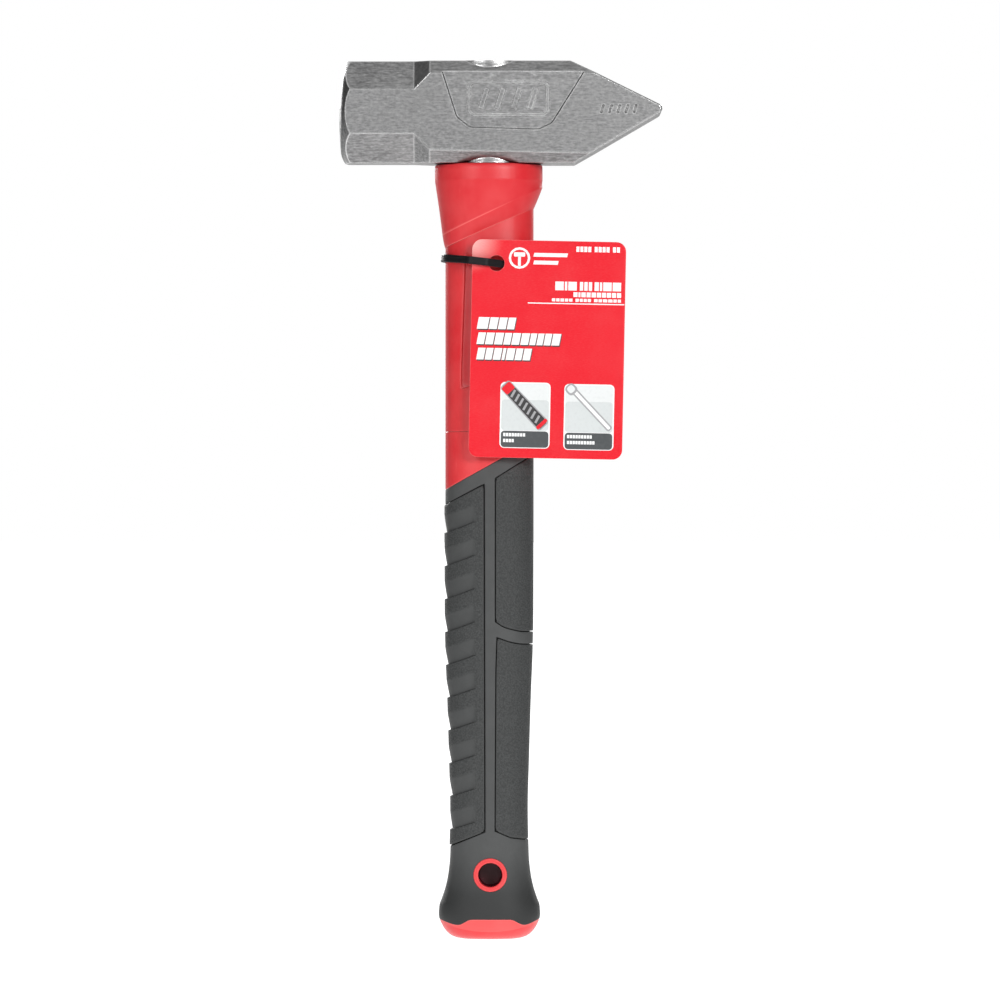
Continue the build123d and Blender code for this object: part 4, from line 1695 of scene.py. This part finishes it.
@dataclass
class Tag:
    """The hang tag: a thin printed card with a round hole, a slight bow and a corner that curls forward."""

    centre: Vector = field(default_factory=lambda: Vector(mm((22.65, -18.2, -73.3))))
    tilt: float = math.radians(1.15)
    width: float = mm(60.2)
    height: float = mm(85.2)
    corner: float = mm(3.8)
    thickness: float = mm(0.5)
    hole: tuple[float, float] = mm((-20.5, 33.4))
    hole_radius: float = mm(3.1)
    bow: float = mm(0.9)
    curl: float = mm(0.7)
    ink: float = mm(0.02)
    cell: float = mm(1.6)
    sheets: dict[str, tuple[Shell, Finish]] = field(default_factory=dict)

    def lift(self, a: float, b: float) -> float:
        """How far the card stands forward of its plane: a bow across it, and a curl at the upper left corner.

        Args:
            a: to the right of the card's centre.
            b: up from the card's centre.

        Returns:
            The distance towards the front.
        """
        bow = self.bow * (a / (self.width / 2)) ** 2 * ease((self.height * 0.42 - b) / self.height)
        corner = (b - a) / math.sqrt(2) - mm(38.5)
        return bow + self.curl * max(corner / mm(10), 0.0) ** 1.6

    def point(self, a: float, b: float, ahead: float) -> Vector:
        """A point on the card or in front of it.

        Args:
            a: to the right of the card's centre.
            b: up from the card's centre.
            ahead: distance in front of the card's middle plane.

        Returns:
            The point.
        """
        cosine, sine = math.cos(self.tilt), math.sin(self.tilt)
        return self.centre + Vector((a * cosine + b * sine, -self.lift(a, b) - ahead, b * cosine - a * sine))

    def outline(self, width: float, height: float, corner: float, step: float) -> list[tuple[float, float]]:
        """A rounded rectangle as points, anticlockwise from the right.

        Args:
            width: of the rectangle.
            height: of the rectangle.
            corner: its radius.
            step: between points on the straights.

        Returns:
            The points.
        """
        made = []
        for quarter, (sign_a, sign_b) in enumerate(((1, 1), (-1, 1), (-1, -1), (1, -1))):
            middle = (sign_a * (width / 2 - corner), sign_b * (height / 2 - corner))
            for part in range(9):
                turn = math.radians(90 * quarter + 90 * part / 8)
                made.append((middle[0] + corner * math.cos(turn), middle[1] + corner * math.sin(turn)))
            straight_run = (width if quarter % 2 == 0 else height) - 2 * corner
            count = max(1, round(straight_run / step))
            along = ((-1, 0), (0, -1), (1, 0), (0, 1))[quarter]
            a, b = made[-1]
            made.extend((a + along[0] * straight_run * part / count,
                         b + along[1] * straight_run * part / count) for part in range(1, count))
        return made

    def build_card(self) -> None:
        """Makes the card as one closed ring round its hole."""
        rim = self.outline(self.width, self.height, self.corner, mm(1.5))
        half = self.thickness / 2
        hole_a, hole_b = self.hole
        feet = []
        for a, b in rim:
            reach = math.hypot(a - hole_a, b - hole_b)
            feet.append((hole_a + (a - hole_a) / reach * self.hole_radius,
                         hole_b + (b - hole_b) / reach * self.hole_radius))
        shares = [0.0, 0.01, 0.03, 0.06, 0.1, 0.15, 0.2, *(0.2 + 0.785 * n / 22 for n in range(1, 23)),
                  0.996, 1.0]
        rows: Rows = []
        for side in (1, -1):
            for share in shares if side == 1 else reversed(shares):
                edge = roll(min(share, 1 - share) * mm(18.0), mm(0.12))
                rows.append([self.point(x0 + (x1 - x0) * share, y0 + (y1 - y0) * share, side * (half - edge))
                             for (x0, y0), (x1, y1) in zip(feet, rim)])
        shell = Shell()
        shell.ring(rows)
        # Painted highlight: a glare at the corner by the hole.
        shell.values["wear"] = [self.wear(point) for point in shell.points]
        present(shell.build("tag_card", sharp=50.0), CARD, "tag", "hang_tag")

    def wear(self, point: Vector) -> float:
        """The painted highlight on the card, a glare: only at the corner that the strap holds.

        Args:
            point: on the card.

        Returns:
            0 to 1.
        """
        away = Vector((point.x - self.centre.x + self.width / 2, point.z - self.centre.z - self.height / 2))
        return 0.95 * (1 - ease(away.length / mm(13.5))) ** 0.9

    def sheet(self, finish: Finish) -> Shell:
        """The shell that collects one ink.

        Args:
            finish: the ink.

        Returns:
            Its shell, made the first time.
        """
        if finish.name not in self.sheets:
            self.sheets[finish.name] = (Shell(), finish)
        return self.sheets[finish.name][0]

    def patch(self, finish: Finish, place: tuple[float, float], size: tuple[float, float], layer: int = 1,
              corner: float = 0.0, lean: float = 0.0, turn: float = 0.0, taper: float = 1.0) -> None:
        """Prints one shape: a rounded, leaning or turned bar that follows the card.

        Args:
            finish: the ink.
            place: the shape's centre, right of and up from the card's centre, in millimetres.
            size: its width and height in millimetres.
            layer: how many layers of ink lie under it, and itself.
            corner: radius of its corners in millimetres.
            lean: degrees that its sides lean to the right.
            turn: degrees that it is turned anticlockwise.
            taper: width at the top as a share of the width at the bottom.
        """
        centre_a, centre_b = mm(place)
        width, height = mm(size)
        radius = mm(corner)
        slope = math.tan(math.radians(lean))
        cosine, sine = math.cos(math.radians(turn)), math.sin(math.radians(turn))
        levels = [-0.5, 0.5]
        if radius:
            arc = [radius * (1 - math.cos(math.radians(part))) / height for part in (0, 22, 45, 67, 90)]
            levels = [-0.5 + part for part in arc] + [0.5 - part for part in reversed(arc)]
        run = max(levels[i + 1] - levels[i] for i in range(len(levels) - 1)) * height
        splits = max(1, math.ceil(run / self.cell))
        middle = len(levels) // 2
        below, above = levels[middle - 1], levels[middle]
        inner = [below + (above - below) * n / splits for n in range(1, splits)]
        levels = levels[:middle] + inner + levels[middle:]
        count = max(2, math.ceil(width / self.cell))
        faces: list[Rows] = [[], []]
        for level in levels:
            away = max(radius - (0.5 - abs(level)) * height, 0.0)
            half = (width / 2 - (radius - math.sqrt(max(radius * radius - away * away, 0.0)))) * (
                1 + (taper - 1) * (level + 0.5))
            for face, ahead in zip(faces, (layer * self.ink, (layer - 0.7) * self.ink)):
                row = []
                for column in range(count + 1):
                    a = half * (2 * column / count - 1) + slope * level * height
                    b = level * height
                    place_a = centre_a + (a * cosine - b * sine)
                    place_b = centre_b + (a * sine + b * cosine)
                    row.append(self.point(place_a, place_b, self.thickness / 2 + ahead))
                face.append(row)
        self.sheet(finish).slab(*faces)

    def line_of_blocks(self, right: float, height: float, size: float, blocks: Sequence[float],
                       finish: Finish, layer: int = 1, gap: float = 0.35, lean: float = 0.0) -> None:
        """Prints a line of plain blocks, set from the right, where a maker would print words.

        Args:
            right: where the line ends, in millimetres.
            height: the line's middle.
            size: height of the blocks.
            blocks: their widths from the left; a negative width is a space.
            finish: the ink.
            layer: as in patch().
            gap: between blocks.
            lean: as in patch().
        """
        place = right - sum(abs(block) + gap for block in blocks)
        for block in blocks:
            if block > 0:
                self.patch(finish, (place + block / 2, height), (block, size), layer, lean=lean)
            place += abs(block) + gap

    def build_print(self) -> None:
        """Prints the card with plain shapes: a round mark, blocks in place of words, and two pictures."""
        self.patch(WHITE_INK, (-11.6, 35.6), (8.4, 8.4), corner=4.19)
        self.patch(CARD, (-11.6, 35.6), (6.6, 6.6), 2, corner=3.29)
        self.patch(WHITE_INK, (-11.6, 34.5), (1.1, 4.0), 3)
        self.patch(WHITE_INK, (-11.6, 37.0), (4.4, 1.7), 3, corner=0.4)
        for number, width in enumerate((13.2, 9.6)):
            self.patch(WHITE_INK, (0.6 - (13.2 - width) / 2, 37.0 - 3.0 * number), (width, 1.5), lean=12)
        groups = (*(1.2,) * 4, -0.6, *(1.2,) * 4, -0.6, *(1.2,) * 2)
        self.line_of_blocks(28.0, 39.5, 2.1, groups, WHITE_INK)
        self.line_of_blocks(17.5, 25.0, 3.4, (3.3, 0.9, 3.3, -0.3, 1.3, 1.3, 1.3), WHITE_INK, gap=0.45)
        self.line_of_blocks(28.8, 25.0, 3.4, (1.7, 0.9, 3.3, 3.3), WHITE_INK, gap=0.4)
        self.line_of_blocks(28.8, 21.7, 1.9, (1.6, 0.8, 1.7, 1.6, 1.7, 1.7, 1.5, 1.7, 1.6, 1.6), WHITE_INK)
        groups = (1.3, 1.3, 1.4, 1.3, 1.3, -0.5, 1.3, 1.2, 1.2, 1.3, -0.5, 1.4, 1.4, 1.7, 1.7, 1.3, 1.3)
        self.line_of_blocks(28.8, 19.5, 1.2, groups, WHITE_INK)
        self.patch(WHITE_INK, (10.9, 18.1), (37.8, 0.42))
        words = ((9.9, (4.2, 3.2, 3.1, 2.9)), (3.9, (2.9, 3.1, 3.2, 2.7, 3.1, 3.1, 2.4, 2.4, 2.6, 3.1)),
                 (-2.1, (2.9, 2.7, 3.0, 1.2, 3.1, 2.7, 2.9)))
        for height, blocks in words:
            right = -27.4 + sum(blocks) + 0.42 * len(blocks)
            self.line_of_blocks(right + 0.3, height - 0.35, 4.9, blocks, DARK_INK, 1, gap=0.42, lean=10)
            self.line_of_blocks(right, height, 4.6, blocks, WHITE_INK, 2, gap=0.42, lean=10)
        self.build_picture(-8.2, -25.9, (4.6, 2.6))
        self.patch(GREY_INK, (-8.6, -22.0), (5.6, 23.0), 4, corner=1.2, turn=44, taper=0.86)
        self.patch(DARK_INK, (-8.6, -22.0), (4.6, 22.0), 5, corner=1.0, turn=44, taper=0.86)
        for number in range(7):
            along = -7.5 + 2.3 * number
            self.patch(GREY_INK, (-8.6 - along * 0.695, -22.0 + along * 0.719), (3.2, 0.9), 6, turn=62)
        self.patch(CARD, (-15.0, -15.4), (4.4, 3.4), 6, corner=0.6, turn=44)
        self.patch(CARD, (-1.6, -29.2), (5.2, 1.4), 6, corner=0.4, turn=44)
        self.build_picture(16.8, -26.2, (5.4, 6.2))
        self.patch(GREY_INK, (17.2, -22.6), (2.5, 23.4), 4, corner=0.9, turn=44)
        self.patch(WHITE_INK, (17.2, -22.6), (1.3, 22.4), 5, corner=0.6, turn=44)
        self.patch(GREY_INK, (9.7, -15.4), (4.2, 4.2), 6, corner=1.5, turn=44)
        self.patch(PALE_INK, (9.6, -15.3), (2.8, 2.8), 7, corner=1.0, turn=44)
        for shell, finish in self.sheets.values():
            present(shell.build(f"print_{finish.name}", sharp=60.0), finish, "tag")

    def build_picture(self, a: float, b: float, words: Sequence[float]) -> None:
        """Prints a picture's frame, its pale ground and its caption strip.

        Args:
            a: its centre, right of the card's centre, in millimetres.
            b: its centre, up from the card's centre.
            words: widths of the two caption lines.
        """
        width, height, strip = 19.6, 25.8, 6.4
        self.patch(WHITE_INK, (a, b), (width, height), 1, corner=1.8)
        self.patch(PALE_INK, (a, b + strip / 2), (width - 1.0, height - strip - 1.0), 2, corner=1.3)
        self.patch(SHADE_INK, (a, b + strip / 2 - 3.2), (width - 1.0, height - strip - 7.4), 3, corner=1.3)
        self.patch(SLATE_INK, (a, b - height / 2 + strip / 2 + 0.3), (width - 1.0, strip), 3, corner=1.3)
        for number, word in enumerate(words):
            line = b - height / 2 + strip - 1.2 - 2.3 * number
            blocks = [0.9] * round(word / 0.6)
            left = a - width / 2 + 1.4
            right = left + sum(blocks) + 0.2 * len(blocks)
            self.line_of_blocks(right, line, 1.3, blocks, WHITE_INK, 4, gap=0.2)

    def build(self) -> None:
        """Makes the card and its print."""
        self.build_card()
        self.build_print()


@dataclass
class CableTie:
    """The cable tie: a toothed strap round the shaft and through the tag's hole, its head at the back."""

    origin: Vector = field(default_factory=lambda: Vector(mm((0, 0, -39.2))))
    tilt: float = math.radians(6.6)
    width: float = mm(3.0)
    thickness: float = mm(1.2)
    edge: float = mm(0.28)
    tooth: float = mm(0.10)
    pitch: float = mm(1.1)
    side: float = mm(18.55)
    back: float = mm(14.7)
    corner: float = mm(13.7)
    front_corner: float = mm(2.5)
    side_start: float = mm(-5.4)
    meet: tuple[float, float] = mm((18.55, -8.79))
    dive: tuple[float, float] = mm((-1.0, -20.54))
    over_card: tuple[float, float] = mm((-8.2, -20.4))
    head_size: tuple[float, float, float] = mm((5.6, 4.2, 5.4))
    head_gap: float = mm(0.4)
    shaft_back: float = mm(13.5)
    step: float = mm(0.5)

    def place(self, u: float, v: float, w: float) -> Vector:
        """A point in the tie's own slanted plane.

        Args:
            u: to the right.
            v: towards the back.
            w: up.

        Returns:
            The point in the row frame.
        """
        cosine, sine = math.cos(self.tilt), math.sin(self.tilt)
        return self.origin + Vector((u * cosine + w * sine, v, w * cosine - u * sine))

    def stretch(self, start: Vector, end: Vector, along: Vector) -> list[tuple[Vector, Vector]]:
        """Points on a straight, with neither end among them.

        Args:
            start: where it starts.
            end: where it ends.
            along: its direction.

        Returns:
            Points with their direction.
        """
        count = max(1, round((end - start).length / self.step))
        return [(start.lerp(end, part / count), along) for part in range(1, count)]

    def path(self) -> list[tuple[Vector, Vector]]:
        """Lays the strap's middle line: straights joined by round bends.

        Returns:
            Points with their directions.
        """
        corners = [Vector(point) for point in ((-self.side, self.side_start), (-self.side, self.back),
                                               (self.side, self.back), self.meet, self.dive, self.over_card)]
        radii = (*(self.corner,) * 4, *(self.front_corner,) * 2)
        made: list[tuple[Vector, Vector]] = []
        for index, (here, radius) in enumerate(zip(corners, radii)):
            before = (here - corners[index - 1]).normalized()
            after = (corners[(index + 1) % len(corners)] - here).normalized()
            turn = before.angle_signed(after)
            run = radius * math.tan(abs(turn) / 2)
            start = here - before * run
            normal = Vector((before.y, -before.x)) * (1 if turn > 0 else -1)
            centre = start + normal * radius
            if made:
                made.extend(self.stretch(made[-1][0], start, before))
            arc_steps = max(4, round(radius * abs(turn) / self.step))
            for step in range(arc_steps + 1):
                angle = turn * step / arc_steps
                spin = Matrix.Rotation(-angle, 2)
                made.append((centre + spin @ (start - centre), spin @ before))
        last, first = made[-1][0], made[0][0]
        made.extend(self.stretch(last, first, (first - last).normalized()))
        return made

    def build_strap(self) -> Shell:
        """Makes the strap as one closed ring, with fine teeth on its inner face.

        Returns:
            The strap's shell.
        """
        rows: Rows = []
        travelled = 0.0
        points = self.path()
        for number, (here, along) in enumerate(points):
            if number:
                travelled += (here - points[number - 1][0]).length
            out = Vector((-along.y, along.x))
            half_w, half_t = self.width / 2, self.thickness / 2
            tooth = self.tooth * ((travelled / self.pitch) % 1.0)
            section = [(half_t, -half_w + self.edge), (half_t, -half_w * 0.5), (half_t - mm(0.06), 0.0),
                       (half_t, half_w * 0.5), (half_t, half_w - self.edge),
                       (half_t - self.edge * 0.3, half_w - mm(0.08)),
                       (half_t - self.edge, half_w), (-half_t + self.edge, half_w),
                       (-half_t + self.edge * 0.3, half_w - mm(0.08)), (-half_t, half_w - self.edge),
                       (-half_t + tooth, half_w * 0.6), (-half_t + tooth, -half_w * 0.6),
                       (-half_t, -half_w + self.edge),
                       (-half_t + self.edge * 0.3, -half_w + mm(0.08)), (-half_t + self.edge, -half_w),
                       (half_t - self.edge, -half_w), (half_t - self.edge * 0.3, -half_w + mm(0.08))]
            rows.append([self.place(here.x + out.x * t, here.y + out.y * t, w) for t, w in section])
        shell = Shell()
        shell.ring(rows)
        return shell

    def box(self, shell: Shell, low: Sequence[float], high: Sequence[float], corner: float,
            power: float = 7.0) -> None:
        """A rounded block in the tie's plane.

        Args:
            shell: takes the block.
            low: its lowest u, v and w.
            high: its highest u, v and w.
            corner: how far its ends are rounded.
            power: how square its section is.
        """
        rows: Rows = []
        centre = [(a + b) / 2 for a, b in zip(low, high)]
        half = [(b - a) / 2 for a, b in zip(low, high)]
        turns = [TURN * step / 40 for step in range(40)]
        levels = [low[1] + corner * part for part in (0.0, 0.1, 0.35, 1.0)]
        levels += [high[1] - corner * part for part in (1.0, 0.35, 0.1, 0.0)]
        for level in levels:
            inward = roll(min(level - low[1], high[1] - level), corner)
            row = []
            for turn in turns:
                u = bulge(math.cos(turn), 2 / power) * (half[0] - inward)
                w = bulge(math.sin(turn), 2 / power) * (half[2] - inward)
                row.append(self.place(centre[0] + u, level, centre[2] + w))
            rows.append(row)
        shell.capsule(rows)

    def build(self) -> None:
        """Makes the strap, the locking head with its collar and pawl, and the trimmed tail."""
        present(self.build_strap().build("tie_strap", sharp=32.0), NYLON, "tie", "cable_tie")
        head = Shell()
        width, depth, height = self.head_size
        start = self.shaft_back + self.head_gap
        self.box(head, (-width / 2, start, -height / 2), (width / 2, start + depth, height / 2), mm(0.6))
        self.box(head, (-width / 2 + mm(0.9), start + depth - mm(0.3), -height / 2 + mm(0.8)),
                 (width / 2 - mm(0.9), start + depth + mm(0.25), height / 2 - mm(0.8)), mm(0.2))
        present(head.build("tie_head", sharp=32.0), NYLON, "tie")
        tail = Shell()
        middle = self.thickness
        self.box(tail, (middle - self.thickness / 2, start + depth - mm(0.5), -self.width / 2),
                 (middle + self.thickness / 2, start + depth + mm(1.5), self.width / 2), mm(0.12))
        present(tail.build("tie_tail", sharp=32.0), NYLON, "tie")


@dataclass
class Head:
    """The forged head, with the core's end and the epoxy that show in its eye: CAD meshes, dressed here."""

    nodes: Mapping[str, bpy.types.Object]

    def dress(self) -> None:
        """Gives each of the three nodes its finish."""
        for node, finish in (("hammer_head", STEEL), ("fiberglass_core", FIBRE), ("eye_epoxy", RESIN)):
            piece = self.nodes[node]
            for slot in piece.material_slots:
                slot.material = finish.material()
            log.info("%s: CAD mesh, %s", node, finish.name)


@dataclass
class Studio:
    """The floor, the light and the camera."""

    bottom: float
    lens: float = 292.6
    distance: float = 3.2
    camera_at: tuple[float, float] = mm((4.134, -132.2))
    floor_size: float = 60.0
    floor_gap: float = mm(0.5)
    front_light: float = 0.47
    top_light: float = 1.0
    side_light: float = 0.12
    lamp_place: tuple[float, float, float] = (0.74, 1.6, 0.40)
    lamp_size: float = 0.45
    right_lamp: float = 16.0
    left_lamp: float = 8.0

    def build_floor(self) -> None:
        """A large pale sheet just under the butt."""
        half = self.floor_size / 2
        z = self.bottom - self.floor_gap
        mesh = bpy.data.meshes.new("floor")
        points = [(-half, -half, z), (half, -half, z), (half, half, z), (-half, half, z)]
        mesh.from_pydata(points, [], [(0, 1, 2, 3)])
        floor = placed("floor", mesh)
        mesh.materials.append(FLOOR.material())
        floor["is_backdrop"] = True

    def build_sky(self) -> None:
        """A white surround, whose light is strongest overhead and weakest at the sides."""
        world = bpy.data.worlds.new("studio_sky")
        bpy.context.scene.world = world
        sky = Nodes(world)
        place = sky.add("ShaderNodeTexCoord").outputs["Generated"]
        powers = place
        for _ in range(2):
            square = sky.add("ShaderNodeVectorMath", {"operation": "MULTIPLY"}, {0: powers, 1: powers})
            powers = square.outputs[0]
        weights = (self.side_light, self.front_light, self.top_light)
        strength = sky.add("ShaderNodeVectorMath", {"operation": "DOT_PRODUCT"}, {0: powers, 1: weights})
        soft = sky.add("ShaderNodeBackground", inputs={"Color": WHITE, "Strength": strength.outputs["Value"]})
        white = sky.add("ShaderNodeBackground", inputs={"Color": WHITE})
        seen = sky.add("ShaderNodeLightPath").outputs["Is Camera Ray"]
        join = sky.add("ShaderNodeMixShader", inputs={0: seen, 1: soft.outputs[0], 2: white.outputs[0]})
        sky.add("ShaderNodeOutputWorld", inputs={0: join.outputs[0]})

    def lamp(self, name: str, place: Sequence[float], aim: Sequence[float], power: float) -> None:
        """A square soft light.

        Args:
            name: the light's name.
            place: where it stands.
            aim: what it points at.
            power: in watts.
        """
        data = bpy.data.lights.new(name, "AREA")
        data.size = self.lamp_size
        data.energy = power
        lamp = placed(name, data)
        lamp.location = Vector(place)
        lamp.rotation_euler = (Vector(aim) - Vector(place)).to_track_quat("-Z", "Y").to_euler()
        lamp.visible_camera = False

    def build(self) -> None:
        """Makes the floor, the light and the camera."""
        self.build_floor()
        self.build_sky()
        middle = (0.0, 0.0, self.camera_at[1])
        x, y, z = self.lamp_place
        lamps = (("right_lamp", (x, -y, z), self.right_lamp), ("left_lamp", (-x, -y, z), self.left_lamp),
                 ("right_back_lamp", (x, y, z), self.left_lamp),
                 ("left_back_lamp", (-x, y, z), self.right_lamp))
        for name, place, power in lamps:
            self.lamp(name, place, middle, power)
        data = bpy.data.cameras.new("camera")
        data.lens = self.lens
        data.clip_end = 100.0
        camera = placed("camera", data)
        camera.location = (self.camera_at[0], -self.distance, self.camera_at[1])
        camera.rotation_euler = (math.pi / 2, 0.0, 0.0)
        bpy.context.scene.camera = camera
        bpy.context.scene.view_settings.view_transform = "Standard"


def main() -> None:
    """Loads the frame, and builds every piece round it."""
    logging.basicConfig(level=logging.INFO, format="%(name)s: %(message)s")
    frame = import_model()
    cad_box = [list(corner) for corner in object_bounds()]
    form = handle_form()
    eyelet = Eyelet(form)
    Head(frame["nodes"]).dress()
    Guard(form).build()
    Jacket(form).build(eyelet)
    Grip(form).build(eyelet)
    eyelet.build()
    ButtCap(form).build()
    Tag().build()
    CableTie().build()
    Studio(bottom=cad_box[0][2]).build()


if __name__ == "__main__":
    main()
